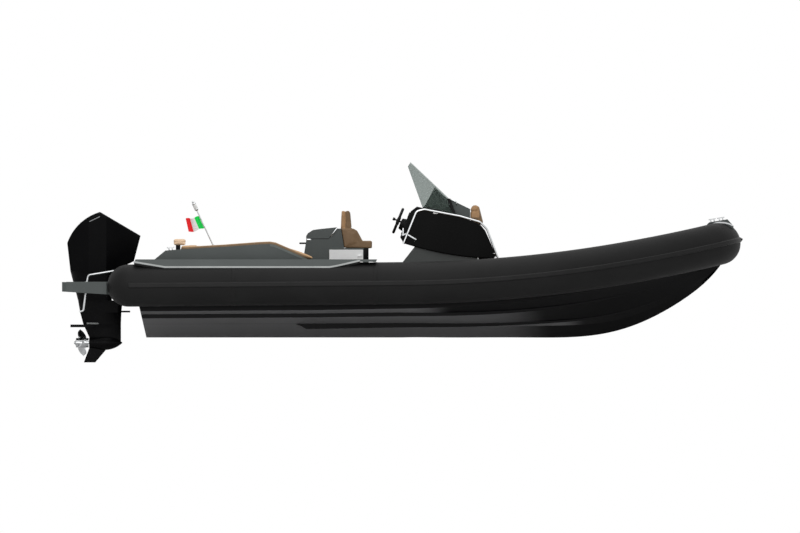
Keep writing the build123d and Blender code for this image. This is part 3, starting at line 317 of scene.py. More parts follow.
finishNodes = [
    (hullGelcoat, ["hull"]),
    (oiledTeak, ["deck"]),
    (tubeFabric, ["tube_stern_starboard", "tube_stern_port", "tube_bow_starboard", "tube_bow_port"]),
    (strakeRubber, ["rub_strake"]),
    (smokedAcrylic, ["windscreen"]),
    (blackGelcoat, ["console_shell"]),
    (darkGelcoat, ["console_base"]),
    (hoodPaintedLight, ["instrument_hood"]),
    (paleMoulding, ["fridge_door"]),
    (gripRubber, ["steering_wheel"]),
    (cowlLacquer, ["motor_cowl"]),
    (castAluminium, ["powerhead"]),
    (greyGelcoat, [
        "bow_plate", "coamings", "lounge_sides", "lounge_bulkhead", "sofa_base", "helm_base", "helm_lid",
        "swim_platforms", "anchor_hatch", "console_nose",
    ]),
    (polishedSteel, [
        "cleats", "tow_eyes", "console_rails", "throttle", "grab_rails", "boarding_ladder", "flag_staff",
        "propeller",
    ]),
    (blackPaint, [
        "headrest_brackets", "helm_bars", "clamp_bracket", "swivel_bracket", "motor_apron", "gearcase",
    ]),
]
for finish, names in finishNodes:
    for name in names:
        nodes[name].material_slots[0].material = finish
print("finishes given to", sum(len(names) for finish, names in finishNodes), "nodes")


# Ways to make a piece
meshLook = {"mergeM": 1e-5, "spinMergeM": 1e-6, "bevelSteps": 3, "spinSteps": 28, "rodSteps": 4}
# a bolt's washer and six-sided head, in shares of its radius
boltLook = {
    "washer": [(0, 0), (1.5, 0), (1.5, 0.3), (0, 0.3)], "washerSteps": 20,
    "head": [(0, 0), (1, 0), (1, 0.9), (0.8, 1.1), (0, 1.1)], "headSides": 6,
}


def bmeshPiece(name, shape, finish, body, smooth=True):
    bmesh.ops.remove_doubles(shape, verts=shape.verts, dist=meshLook["mergeM"])
    bmesh.ops.recalc_face_normals(shape, faces=shape.faces)
    for face in shape.faces:
        face.smooth = smooth
    mesh = bpy.data.meshes.new(name)
    shape.to_mesh(mesh)
    shape.free()
    piece = bpy.data.objects.new(name, mesh)
    scene.collection.objects.link(piece)
    mesh.materials.append(finish)
    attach(piece, body)
    return piece


# a place and turn: z along the axis, x as near to along as it can be
def placed(origin, axis, along=(1, 0, 0)):
    zAxis = Vector(axis).normalized()
    xAxis = Vector(along) - zAxis * zAxis.dot(Vector(along))
    xAxis.normalize()
    turn = Matrix((xAxis, zAxis.cross(xAxis), zAxis)).transposed().to_4x4()
    return Matrix.Translation(origin) @ turn


def joinPart(shape, part, matrix):
    part.transform(matrix)
    mesh = bpy.data.meshes.new("part")
    part.to_mesh(mesh)
    part.free()
    shape.from_mesh(mesh)
    bpy.data.meshes.remove(mesh)


def softBox(shape, size, roundM, matrix):
    part = bmesh.new()
    bmesh.ops.create_cube(part, size=1)
    bmesh.ops.scale(part, verts=part.verts, vec=size)
    bmesh.ops.bevel(
        part, geom=part.edges[:], offset=roundM, segments=meshLook["bevelSteps"], profile=0.5,
        affect="EDGES", material=-1,
    )
    joinPart(shape, part, matrix)


def turned(shape, profile, matrix, steps=meshLook["spinSteps"]):
    part = bmesh.new()
    line = [part.verts.new((radius, 0, height)) for radius, height in profile]
    for start, end in zip(line, line[1:]):
        part.edges.new((start, end))
    bmesh.ops.spin(
        part, geom=part.verts[:] + part.edges[:], cent=(0, 0, 0), axis=(0, 0, 1), dvec=(0, 0, 0),
        angle=math.tau, steps=steps, use_merge=True,
    )
    bmesh.ops.remove_doubles(part, verts=part.verts, dist=meshLook["spinMergeM"])
    joinPart(shape, part, matrix)


# a profile whose widths are shares of a radius
def widened(profile, radius):
    return [(radius * share, height) for share, height in profile]


def rod(shape, points, radius):
    curve = bpy.data.curves.new("rod", "CURVE")
    curve.dimensions = "3D"
    curve.bevel_depth, curve.bevel_resolution, curve.use_fill_caps = radius, meshLook["rodSteps"], True
    spline = curve.splines.new("POLY")
    spline.points.add(len(points) - 1)
    for spot, place in zip(spline.points, points):
        spot.co = (*place, 1)
    holder = bpy.data.objects.new("rod", curve)
    mesh = bpy.data.meshes.new_from_object(holder)
    shape.from_mesh(mesh)
    bpy.data.objects.remove(holder)
    bpy.data.meshes.remove(mesh)


def newVerts(geom):
    return [v for v in geom if isinstance(v, bmesh.types.BMVert)]


# a flat bar along a row of points, grown outwards and then upwards
def bar(shape, points, out, up):
    part = bmesh.new()
    line = [part.verts.new(place) for place in points]
    edges = [part.edges.new(pair) for pair in zip(line, line[1:])]
    swept = bmesh.ops.extrude_edge_only(part, edges=edges)["geom"]
    bmesh.ops.translate(part, verts=newVerts(swept), vec=out)
    flat = part.faces[:] + part.edges[:]
    grown = bmesh.ops.extrude_face_region(part, geom=flat, use_keep_orig=True)["geom"]
    bmesh.ops.translate(part, verts=newVerts(grown), vec=up)
    joinPart(shape, part, Matrix())


def bolt(shape, matrix, radius):
    for profile, steps in (("washer", "washerSteps"), ("head", "headSides")):
        line = [(radius * wide, radius * high) for wide, high in boltLook[profile]]
        turned(shape, line, matrix, boltLook[steps])


# Cushions: each copies its solid, a little smaller, is blown up as cloth, and is then sewn
# seams are (axis, place) or (axis, place, limit axis, from, to), in metres
cushions = {
    "sofa_seat_cushions": {
        "voxelMm": 11, "shrinkMm": 8, "capMm": 20, "fill": 0.6, "finish": brownVinyl,
        "seams": [
            (2, 0.492), (2, 0.406), (1, 0.0, 0, -2.8, -2.2), (1, 0.45, 0, -2.8, -2.2),
            (1, -0.45, 0, -2.8, -2.2), (0, -1.76, 0, -2.1, -1.3),
        ],
    },
    "sofa_back_cushions": {
        "voxelMm": 10, "shrinkMm": 5, "capMm": 9, "fill": 0.7, "finish": loungeVinyl,
        # the lounge back's top line; the band under it is painted lighter: painted highlight
        "paintedTopHighlight": [
            (-2.88, 0.767), (-2.308, 0.802), (-1.879, 0.834), (-1.723, 0.841), (-1.645, 0.828),
            (-1.164, 0.62),
        ],
        "seams": [
            *[(0, x, 1, *side) for x in (-2.6, -2.32, -2.04, -1.76, -1.5)
              for side in ((-1.09, -0.95), (0.95, 1.09))],
            *[(1, y, 0, -2.8, -2.6) for y in (-0.45, 0.0, 0.45)],
        ],
    },
    "lounge_headrests": {
        "voxelMm": 5, "shrinkMm": 3, "capMm": 6, "fill": 0.7, "finish": tanVinyl,
        "seams": [(2, 0.82)],
    },
    "helm_seats": {
        "voxelMm": 8, "shrinkMm": 2, "capMm": 6, "fill": 0.7, "finish": brownVinyl,
        "seams": [(0, -0.742, 2, 1.0, 1.3), (2, 1.0, 0, -0.8, -0.66)],
        # the headrest's aft panel is painted lighter: painted light on the side the light falls on
        "panel": {"finish": paintedLitVinyl, "low": (-0.83, -1, 1.0), "high": (-0.742, 1, 1.3)},
    },
    "front_backrest": {
        "voxelMm": 8, "shrinkMm": 5, "capMm": 9, "fill": 0.7, "finish": brownVinyl,
        "seams": [(2, 1.222, 0, 0.86, 0.97), (1, 0.0), (1, 0.19), (1, -0.19)],
        "panel": {"finish": paintedLitVinyl, "low": (0.86, -1, 1.14), "high": (1.0, 1, 1.4)},
    },
    "front_seat_cushion": {
        "voxelMm": 10, "shrinkMm": 8, "capMm": 20, "fill": 0.6, "finish": brownVinyl,
        "seams": [(2, 0.492), (2, 0.406), (1, 0.0)],
    },
    "bow_sunpad": {
        "voxelMm": 12, "shrinkMm": 8, "capMm": 20, "fill": 0.55, "finish": brownVinyl,
        "seams": [(2, 0.432), (2, 0.346), (1, 0.0), (0, 2.1), (0, 2.62), (0, 2.86)],
    },
}
sewing = {
    "widthM": 0.012, "depthM": 0.009, "reach": 3, "paintedTopHighlightM": 0.02, "blendM": 0.008,  # reach is in widths
    "smoothTurns": 2, "smoothShare": 0.5,
}
blowing = {"frames": 20, "pressure": 4, "quality": 4}


def shownMesh(piece):
    graph = bpy.context.evaluated_depsgraph_get()
    return bpy.data.meshes.new_from_object(piece.evaluated_get(graph))


def startCushion(name, look):
    shape = bmesh.new()
    shape.from_mesh(nodes[name].data)
    bmesh.ops.remove_doubles(shape, verts=shape.verts, dist=meshLook["mergeM"])
    shape.normal_update()
    moves = [(v, v.normal * look["shrinkMm"] / 1000) for v in shape.verts]
    for v, move in moves:
        v.co -= move
    mesh = bpy.data.meshes.new(name + "_soft")
    shape.to_mesh(mesh)
    shape.free()
    pad = bpy.data.objects.new(name + "_soft", mesh)
    scene.collection.objects.link(pad)
    remesh = pad.modifiers.new("remesh", "REMESH")
    remesh.mode, remesh.voxel_size = "VOXEL", look["voxelMm"] / 1000
    pad.data = shownMesh(pad)
    pad.modifiers.clear()
    return pad


def sewnDepth(place, seams):
    depth = 0
    for axis, at, *limit in seams:
        away = abs(place[axis] - at) / sewing["widthM"]
        if away < sewing["reach"] and (not limit or limit[1] < place[limit[0]] < limit[2]):
            depth = max(depth, sewing["depthM"] * math.exp(-away * away))
    return depth


# how far a point lies in the painted highlight under the cushion's top line, from 0 to 1
def paintedTopHighlightShare(place, line):
    for (startX, startZ), (endX, endZ) in zip(line, line[1:]):
        if place.x <= endX or endX == line[-1][0]:
            top = startZ + (endZ - startZ) * (place.x - startX) / (endX - startX)
            return min(1, max(0, (place.z - top + sewing["paintedTopHighlightM"]) / sewing["blendM"]))


def finishCushion(pad, start, look):
    cap = look["capMm"] / 1000
    for v, home in zip(pad.data.vertices, start):
        move = v.co - home
        if move.length > cap:
            v.co = home + move * (cap / move.length)
    shape = bmesh.new()
    shape.from_mesh(pad.data)
    for turn in range(sewing["smoothTurns"]):
        bmesh.ops.smooth_vert(
            shape, verts=shape.verts, factor=sewing["smoothShare"],
            use_axis_x=True, use_axis_y=True, use_axis_z=True,
        )
    shape.normal_update()
    for v in shape.verts:
        v.co -= v.normal * sewnDepth(v.co, look["seams"])
    # the top band is painted lighter: painted highlight
    if "paintedTopHighlight" in look:
        paintedTopHighlight = shape.verts.layers.float.new("paintedTopHighlight")
        for v in shape.verts:
            v[paintedTopHighlight] = paintedTopHighlightShare(v.co, look["paintedTopHighlight"])
    panel = look.get("panel")
    for face in shape.faces:
        face.smooth = True
        if panel:
            middle = face.calc_center_median()
            ends = zip(panel["low"], middle, panel["high"])
            face.material_index = all(low < at < high for low, at, high in ends)
    pad.data.materials.clear()
    pad.data.materials.append(look["finish"])
    if panel:
        pad.data.materials.append(panel["finish"])
    shape.to_mesh(pad.data)
    shape.free()


pads = {name: startCushion(name, look) for name, look in cushions.items()}
starts = {name: [v.co.copy() for v in pad.data.vertices] for name, pad in pads.items()}
print("cushions cut,", {name: len(start) for name, start in starts.items()})
for pad in pads.values():
    cloth = pad.modifiers.new("cloth", "CLOTH").settings
    cloth.use_pressure, cloth.uniform_pressure_force = True, blowing["pressure"]
    cloth.effector_weights.gravity = 0
    cloth.quality = blowing["quality"]
for step in range(1, blowing["frames"] + 1):
    scene.frame_set(step)
blown = {name: shownMesh(pad) for name, pad in pads.items()}
scene.frame_set(1)
for name, pad in pads.items():
    pad.modifiers.clear()
    pad.data = blown[name]
print("cushions blown up")

for name, look in cushions.items():
    pad = pads[name]
    finishCushion(pad, starts[name], look)
    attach(pad, "boat")
    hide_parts(name)
print("cushions sewn")


# Flag: a waving sheet of woven nylon in three plain upright stripes
flagLook = {
    "flyM": 0.215, "hoistM": 0.175, "lean": (-0.4205, 0, 0.9073), "edgeM": 0.001,
    "flySteps": 48, "hoistSteps": 28,
    "reachM": (0.205, 0.17), "droopM": (0.05, 0.04), "waveM": (0.006, 0.02),  # at the foot and the top
    "sway": (4, 9, 0.8), "ripple": (3, 7, 1.5), "rippleM": 0.011,  # start, turns out, turns up
    "stripes": ["#00ea58", "#ffffff", "#fb1620"], "roughness": 0.7,
    "threads": 60, "twist": 0.5, "bump": 0.15, "threadM": 0.0005,
}


def makeFlagCloth(look):
    material, tree, shader = newMaterial("wovenNylon")
    shader.inputs["Roughness"].default_value = look["roughness"]
    uv = addNode(tree, "ShaderNodeUVMap", uv_map="fly").outputs["UV"]
    along = addNode(tree, "ShaderNodeSeparateXYZ", [("Vector", uv)]).outputs["X"]
    stripes = addNode(tree, "ShaderNodeValToRGB", [("Fac", along)])
    stripes.color_ramp.interpolation = "CONSTANT"
    stripes.color_ramp.elements.new(0.5)
    for element, place, colour in zip(stripes.color_ramp.elements, (0, 1 / 3, 2 / 3), look["stripes"]):
        element.position, element.color = place, linear(colour)
    tree.links.new(stripes.outputs["Color"], shader.inputs["Base Color"])
    # threads drawn 3 mm apart so that they show
    weave = addNode(
        tree, "ShaderNodeTexWave", [("Vector", uv)],
        {"Scale": look["threads"], "Distortion": look["twist"]}, bands_direction="DIAGONAL",
    )
    bump = addNode(
        tree, "ShaderNodeBump", [("Height", weave.outputs["Fac"])],
        {"Strength": look["bump"], "Distance": look["threadM"]},
    )
    tree.links.new(bump.outputs["Normal"], shader.inputs["Normal"])
    return material


def between(ends, share):
    return ends[0] + (ends[1] - ends[0]) * share


# a wave that is held at the staff and grows from there
def waving(wave, fly, hoist):
    start, out, up = wave
    return min(1, start * fly) * math.sin(fly * out + hoist * up)


def makeFlag(look):
    low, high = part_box("flag")
    shape = bmesh.new()
    bmesh.ops.create_grid(shape, x_segments=look["flySteps"], y_segments=look["hoistSteps"], size=0.5)
    uvLayer = shape.loops.layers.uv.new("fly")
    for face in shape.faces:
        for loop in face.loops:
            loop[uvLayer].uv = (loop.vert.co.x + 0.5, loop.vert.co.y + 0.5)
    # the hoist follows the leaning staff; the fly droops and waves, most at its top
    lean = Vector(look["lean"]) * look["hoistM"]
    foot = Vector((high.x - look["edgeM"], (low.y + high.y) / 2, high.z - lean.z))
    for v in shape.verts:
        fly, hoist = v.co.x + 0.5, v.co.y + 0.5
        sway = between(look["waveM"], hoist) * waving(look["sway"], fly, hoist)
        ripple = look["rippleM"] * waving(look["ripple"], fly, hoist)
        reach, droop = between(look["reachM"], hoist), between(look["droopM"], hoist)
        v.co = foot + lean * hoist + Vector((-reach * fly, sway, ripple - droop * fly))
    piece = bmeshPiece("flagSheet", shape, makeFlagCloth(look), "boat")
    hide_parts("flag")
    return piece


flagPiece = makeFlag(flagLook)
print("flag hung")


# Trim strips on the boat's sides
trimLook = {
    "widthM": 0.022, "proudM": 0.004, "liftM": 0.004,
    "sinkM": 0.002, "stripSinkM": 0.001,  # how far strips and seals reach into what they lie on
    "edge": [
        (-3.49, 0.548), (-3.088, 0.481), (-0.95, 0.481), (-0.85, 0.499), (-0.747, 0.522), (-0.552, 0.566),
    ],
    "faceY": 1.456, "faceZ": 0.44, "lean": 0.282,  # the coaming's side leans in by this share of its height
    # a black strip under the trim's lower edge: painted shadow beneath the trim
    "shadowStripM": 0.028, "shadowStripInM": 0.008, "shadowStripDepthM": 0.03,
    "chamfer": [(-1.722, 0.795), (-1.66, 0.785), (-1.235, 0.602)], "chamferM": 0.03, "loungeY": 1.24,
    "bowStrip": [
        (4.016, 1.036), (4.06, 1.056), (4.12, 1.067), (4.19, 1.063), (4.25, 1.047), (4.294, 1.026),
    ],
    "bowStripM": 0.018, "plateY": 0.17,
    "rubberAndShadowStrips": [(0.264, 1.267), (0.678, 1.177)], "sealM": 0.014, "glassY": 0.44,
    "frontSeal": [(0.58, 1.386), (0.654, 1.178)], "frontSealM": 0.042,
}


def makeTrim(look):
    silver, band, steel, rubberAndShadowStrips = (bmesh.new() for i in range(4))
    sink, sealSink, width = look["sinkM"], look["stripSinkM"], look["widthM"]
    for side in (-1, 1):
        proud = (0, side * (look["proudM"] + sink), 0)
        sealProud = (0, side * (look["proudM"] + sealSink), 0)
        edge = []
        for x, z in look["edge"]:
            height = z + look["liftM"]
            inset = (height - look["faceZ"]) * look["lean"]
            edge.append((x, side * (look["faceY"] - inset - sink), height))
        # painted shadow: a black strip tucked under the trim
        shadowStrip = [(x, y - side * look["shadowStripInM"], z - look["shadowStripM"]) for x, y, z in edge]
        bar(rubberAndShadowStrips, shadowStrip, (0, -side * look["shadowStripDepthM"], 0), (0, 0, look["shadowStripM"]))
        bar(silver, edge, proud, (0, -side * width * look["lean"], width))
        # a flat lighter strip on the lounge side where its chamfer is: painted light on a face that catches
        # the light
        chamfer = [(x, side * (look["loungeY"] - sink), z - look["chamferM"]) for x, z in look["chamfer"]]
        bar(band, chamfer, proud, (0, 0, look["chamferM"]))
        strip = [(x, side * (look["plateY"] - sink), z) for x, z in look["bowStrip"]]
        bar(steel, strip, proud, (0, 0, look["bowStripM"]))
        glassY = side * (look["glassY"] - sealSink)
        bar(rubberAndShadowStrips, [(x, glassY, z) for x, z in look["rubberAndShadowStrips"]], sealProud, (0, 0, look["sealM"]))
        bar(rubberAndShadowStrips, [(x, glassY, z) for x, z in look["frontSeal"]], (look["frontSealM"], 0, 0), sealProud)
    bmeshPiece("coamingTrim", silver, trimAluminium, "boat", smooth=False)
    bmeshPiece("loungeChamferLitStrip", band, nonSkid, "boat", smooth=False)
    bmeshPiece("bowStrip", steel, polishedSteel, "boat", smooth=False)
    bmeshPiece("rubberSealsAndShadowStrip", rubberAndShadowStrips, gripRubber, "boat", smooth=False)


makeTrim(trimLook)
print("trim laid")

# Helm unit: chrome rails by the lid's hinge, latch plates, sink fittings, and black strips of painted shade:
# front posts, a seal line under the lid, a strip between the seats
helmLook = {
    "sideY": 0.45, "rail": [(-0.93, 0.899), (-0.855, 0.997)], "railRadius": 0.009, "railOutM": 0.014,
    "latchAt": (-1.214, 0.853), "latchSize": (0.052, 0.01, 0.018), "latchOutM": 0.002, "latchRoundM": 0.002,
    # a black strip along the lid's lower edge: painted shadow in the gap between lid and base
    "lidShadowStrip": [(-1.235, 0.86), (-0.957, 0.86), (-0.864, 0.987)], "lidShadowStripM": 0.007,
    "stripSinkM": 0.001, "lidShadowDepthM": 0.003,
    # black strips on the base's sides at its front: painted shade on the base's front part
    "postAt": (-0.473, 0.665), "postSize": (0.06, 0.008, 0.156), "postOutM": 0.001, "postRoundM": 0.003,
    # a black strip filling the slit between the two seats: painted shade in the gap
    "seatGapShadowStrip": [(-0.764, 0.747), (-0.8035, 0.99)], "seatGapShadowStripSize": (0.055, 0.012),
    "drainAt": (-1.1, 0.0, 0.7575),
    "drain": [(0, 0), (0.03, 0), (0.034, 0.003), (0.022, 0.005), (0, 0.003)],
    "tapAt": (-1.15, 0.18, 0.757),
    "tap": [(0, 0), (0.02, 0), (0.02, 0.006), (0.011, 0.01), (0.011, 0.05), (0, 0.052)],
    "spout": [(0, 0, 0.042), (0.03, -0.03, 0.06), (0.06, -0.06, 0.055)], "spoutRadius": 0.007,
}


def makeHelmFittings(look):
    steel, shadowPosts, rubberAndShadowStrips = (bmesh.new() for i in range(3))
    for side in (-1, 1):
        sideY = side * look["sideY"]
        # painted shadow under the lid's edge
        line = [(x, side * (look["sideY"] - look["stripSinkM"]), z) for x, z in look["lidShadowStrip"]]
        bar(rubberAndShadowStrips, line, (0, side * look["lidShadowDepthM"], 0), (0, 0, look["lidShadowStripM"]))
        rail = [(x, side * (look["sideY"] + look["railOutM"]), z) for x, z in look["rail"]]
        (startX, startZ), (endX, endZ) = look["rail"]
        rod(steel, [(startX, sideY, startZ), *rail, (endX, sideY, endZ)], look["railRadius"])
        # latch plates, and black posts that are painted shade
        for part, kind in ((steel, "latch"), (shadowPosts, "post")):
            x, z = look[kind + "At"]
            y = side * (look["sideY"] + look[kind + "OutM"])
            softBox(part, look[kind + "Size"], look[kind + "RoundM"], Matrix.Translation((x, y, z)))
    # painted shade: the black strip in the slit between the seats
    length, width = look["seatGapShadowStripSize"]
    bar(rubberAndShadowStrips, [(x, -width / 2, z) for x, z in look["seatGapShadowStrip"]], (0, width, 0), (length, 0, 0))
    turned(steel, look["drain"], Matrix.Translation(look["drainAt"]))
    turned(steel, look["tap"], Matrix.Translation(look["tapAt"]))
    x, y, z = look["tapAt"]
    rod(steel, [(x + dx, y + dy, z + dz) for dx, dy, dz in look["spout"]], look["spoutRadius"])
    bmeshPiece("helmFittings", steel, polishedSteel, "boat")
    bmeshPiece("helmShadowPosts", shadowPosts, blackPaint, "boat")
    bmeshPiece("lidShadowStrip", rubberAndShadowStrips, gripRubber, "boat", smooth=False)


makeHelmFittings(helmLook)

# Fridge door latch and the anchor hatch's ring
latchLook = {
    "doorAt": (-0.56, -0.4835, 0.64), "doorSize": (0.05, 0.006, 0.024), "doorRoundM": 0.002,
    "knob": [(0, 0), (0.008, 0), (0.008, 0.004), (0, 0.005)], "knobSteps": 20,
    "hatchAt": (3.62, 0.0, 0.6675), "hatchNormal": (-0.22, 0, 1),
    "plate": [(0, 0), (0.036, 0), (0.036, 0.003), (0.03, 0.004), (0, 0.003)],
    "ringRadius": 0.026, "ringWire": 0.004, "ringHeight": 0.006, "ringSteps": 10,
}


def makeLatches(look):
    door = bmesh.new()
    softBox(door, look["doorSize"], look["doorRoundM"], Matrix.Translation(look["doorAt"]))
    turned(door, look["knob"], placed(look["doorAt"], (0, -1, 0)), look["knobSteps"])
    bmeshPiece("doorLatch", door, paleMoulding, "fridge_door")
    hatch = bmesh.new()
    place = placed(look["hatchAt"], look["hatchNormal"])
    turned(hatch, look["plate"], place)
    steps, wire = look["ringSteps"], look["ringWire"]
    angles = [i * math.tau / steps for i in range(steps + 1)]
    section = [
        (look["ringRadius"] + wire * math.cos(angle), look["ringHeight"] + wire * math.sin(angle))
        for angle in angles
    ]
    turned(hatch, section, place)
    bmeshPiece("hatchRing", hatch, polishedSteel, "anchor_hatch")


makeLatches(latchLook)
print("helm and hatch fittings set")

# Dash on the console's sloping aft face: display, switch panel, two dials
dashLook = {
    "low": (-0.031, 0.884), "up": (0.3803, 0.9249), "displayY": 0.16, "displayShare": 0.215,
    "displaySize": (0.36, 0.2, 0.016), "displayRoundM": 0.006,
    "screenSize": (0.325, 0.165, 0.004), "screenRoundM": 0.0015, "screenOutM": 0.008,
    "switchY": 0.16, "switchShare": 0.06, "switchCount": 6, "switchGap": 0.045,
    "switchSize": (0.026, 0.04, 0.014), "switchRoundM": 0.003,
    "dialY": (-0.09, -0.31), "dialShare": 0.31, "dialRadius": 0.036,
    "dialFrame": [(0, 0), (1, 0), (1, 0.01), (0.86, 0.012), (0.82, 0.006), (0, 0.006)],
    "dialGlass": [(0, 0.004), (0.84, 0.004), (0.84, 0.008), (0, 0.009)],
}


def onDash(look, y, share, out=0.0):
    (lowX, lowZ), (upX, upZ) = look["low"], look["up"]
    origin = (lowX + upX * share - upZ * out, y, lowZ + upZ * share + upX * out)
    return placed(origin, (-upZ, 0, upX), (0, -1, 0))


def makeDash(look):
    frames, glass = bmesh.new(), bmesh.new()
    at = (look["displayY"], look["displayShare"])
    softBox(frames, look["displaySize"], look["displayRoundM"], onDash(look, *at))
    softBox(glass, look["screenSize"], look["screenRoundM"], onDash(look, *at, look["screenOutM"]))
    for i in range(look["switchCount"]):
        y = look["switchY"] + (i - (look["switchCount"] - 1) / 2) * look["switchGap"]
        softBox(frames, look["switchSize"], look["switchRoundM"], onDash(look, y, look["switchShare"]))
    for y in look["dialY"]:
        place = onDash(look, y, look["dialShare"])
        turned(frames, widened(look["dialFrame"], look["dialRadius"]), place)
        turned(glass, widened(look["dialGlass"], look["dialRadius"]), place)
    bmeshPiece("dashFrames", frames, gripRubber, "boat")
    bmeshPiece("dashGlass", glass, displayGlass, "boat")


makeDash(dashLook)

# Console: kick panel, strut at the nose, rail stays, wheel cap and boss, throttle pivot, courtesy lamps
consoleLook = {
    "strut": [(0.625, 1.372), (0.7, 1.343)], "strutDrop": 0.045, "strutY": 0.382, "strutRadius": 0.008,
    "stays": [((1.2186, 0.672), (1.157, 0.672)), ((1.236, 0.63), (1.175, 0.63))], "stayRadius": 0.007,
    "railY": 0.515, "shellY": 0.468,
    "lampAt": (0.43, 0.471, 1.198), "lampSize": (0.06, 0.008, 0.022), "lampRoundM": 0.003,
    "hubAt": (-0.0566, -0.2, 1.0979), "hubAxis": (-0.9249, 0, 0.3803),
    "cap": [(0, 0.024), (0.03, 0.022), (0.044, 0.018), (0.047, 0.014), (0.047, 0.01), (0, 0.01)],
    "bossAt": (0.0321, -0.2, 1.0377),
    "boss": [
        (0, -0.003), (0.084, -0.003), (0.084, 0.004), (0.079, 0.03), (0.073, 0.058), (0.064, 0.066),
        (0, 0.07),
    ],
    "pivotAt": (0.166, -0.469, 0.858),
    "pivot": [(0, 0), (0.024, 0), (0.024, 0.0138), (0.021, 0.0156), (0, 0.0156)],
    "kick": [(0.985, 0.624), (1.08, 0.614), (1.172, 0.606)], "kickY": 0.4, "kickM": 0.09,
}


def makeConsoleFittings(look):
    steel, lamps, cap, kick, boss, pivot = (bmesh.new() for i in range(6))
    points = [(x, -look["kickY"], z) for x, z in look["kick"]]
    bar(kick, points, (0, 2 * look["kickY"], 0), (0, 0, -look["kickM"]))
    bmeshPiece("kickPanel", kick, blackGelcoat, "boat", smooth=False)
    for side in (-1, 1):
        strut = [(x, side * look["strutY"], z) for x, z in look["strut"]]
        x, y, z = strut[-1]
        rod(steel, [*strut, (x, y, z - look["strutDrop"])], look["strutRadius"])
        for (railX, railZ), (shellX, shellZ) in look["stays"]:
            stay = [(railX, side * look["railY"], railZ), (shellX, side * look["shellY"], shellZ)]
            rod(steel, stay, look["stayRadius"])
        x, y, z = look["lampAt"]
        softBox(lamps, look["lampSize"], look["lampRoundM"], Matrix.Translation((x, side * y, z)))
    bmeshPiece("consoleFittings", steel, polishedSteel, "boat")
    bmeshPiece("courtesyLamps", lamps, opalAcrylic, "boat")
    turned(cap, look["cap"], placed(look["hubAt"], look["hubAxis"], (0, 1, 0)))
    bmeshPiece("wheelCap", cap, gripRubber, "steering_wheel")
    turned(boss, look["boss"], placed(look["bossAt"], look["hubAxis"], (0, 1, 0)))
    bmeshPiece("steeringBoss", boss, gripRubber, "boat")
    turned(pivot, look["pivot"], placed(look["pivotAt"], (0, -1, 0)))
    bmeshPiece("throttlePivot", pivot, gripRubber, "boat")


makeConsoleFittings(consoleLook)
print("console fitted")

# Swim platforms and hatch: raised non-skid pads
padLook = {
    "platforms": [((-4.12, 1.0), (0.5, 0.5)), ((-3.84, 0.79), (0.07, 0.11))], "platformZ": 0.301,
    "thickM": 0.006, "roundM": 0.002,
    "hatchAt": (3.5, 0.0), "hatchSize": (0.17, 0.28), "hatchLiftM": 0.0187,
    "foredeckX": 3.25, "foredeckZ": 0.565, "foredeckRise": 0.22,  # the foredeck climbs by this share
}


def makeNonSkidPads(look):
    shape = bmesh.new()
    for (x, y), size in look["platforms"]:
        for side in (-1, 1):
            place = Matrix.Translation((x, side * y, look["platformZ"]))
            softBox(shape, (*size, look["thickM"]), look["roundM"], place)
    bmeshPiece("platformPads", shape, nonSkid, "boat", smooth=False)
    hatch = bmesh.new()
    x, y = look["hatchAt"]
    z = look["foredeckZ"] + look["foredeckRise"] * (x - look["foredeckX"]) + look["hatchLiftM"]
    place = placed((x, y, z), (-look["foredeckRise"], 0, 1))
    softBox(hatch, (*look["hatchSize"], look["thickM"]), look["roundM"], place)
    bmeshPiece("hatchPad", hatch, nonSkid, "anchor_hatch", smooth=False)


makeNonSkidPads(padLook)
print("non-skid laid")

# Collar: glued bands where the chambers meet, and filling valves on the inboard side
collarLook = {
    "radiusM": 0.275, "proudM": 0.0016, "sinkM": 0.001, "bandM": 0.06, "taperM": 0.003, "bandSteps": 96,
    "bands": [(-2.2, 1.265, 0.26688, 0.5), (-0.35, 1.265, 0.28302, 0.5)],  # x, y, z, rise in degrees
    "valves": [(-1.9, 1.265, 0.2695), (0.9, 1.265, 0.3165)], "valveTurn": 40, "valveSinkM": 0.004,
    "valveRadius": 0.032,
    "valve": [(0, 0), (1, 0), (1, 0.006), (0.9, 0.009), (0.62, 0.009), (0.58, 0.014), (0, 0.015)],
}


def makeCollarDetails(look):
    bands, valves = bmesh.new(), bmesh.new()
    half, taper = look["bandM"] / 2, look["taperM"]
    inner, outer = look["radiusM"] - look["sinkM"], look["radiusM"] + look["proudM"]
    band = [(inner, -half), (outer, taper - half), (outer, half - taper), (inner, half)]
    turn = math.radians(look["valveTurn"])
    for side in (-1, 1):
        for x, y, z, rise in look["bands"]:
            along = (math.cos(math.radians(rise)), 0, math.sin(math.radians(rise)))
            turned(bands, band, placed((x, side * y, z), along, (0, 1, 0)), look["bandSteps"])
        for x, y, z in look["valves"]:
            out = Vector((0, -side * math.cos(turn), math.sin(turn)))
            foot = Vector((x, side * y, z)) + out * (look["radiusM"] - look["valveSinkM"])
            turned(valves, widened(look["valve"], look["valveRadius"]), placed(foot, out))
    bmeshPiece("collarBands", bands, tubeFabric, "boat")
    bmeshPiece("collarValves", valves, gripRubber, "boat")


makeCollarDetails(collarLook)

# Staff: all-round light, an opal lens between steel cups
staffLook = {
    "topAt": (-2.723, 1.195, 1.341), "axis": (-0.4205, 0, 0.9073),
    "lens": [
        (0.011, -0.104), (0.023, -0.102), (0.025, -0.09), (0.025, -0.042), (0.023, -0.032), (0.011, -0.03),
    ],
    "cups": [
        [(0.0095, -0.126), (0.016, -0.124), (0.028, -0.108), (0.028, -0.1), (0.0095, -0.099)],
        [(0, -0.034), (0.028, -0.034), (0.028, -0.026), (0.02, -0.012), (0.008, -0.004), (0, -0.003)],
    ],
}


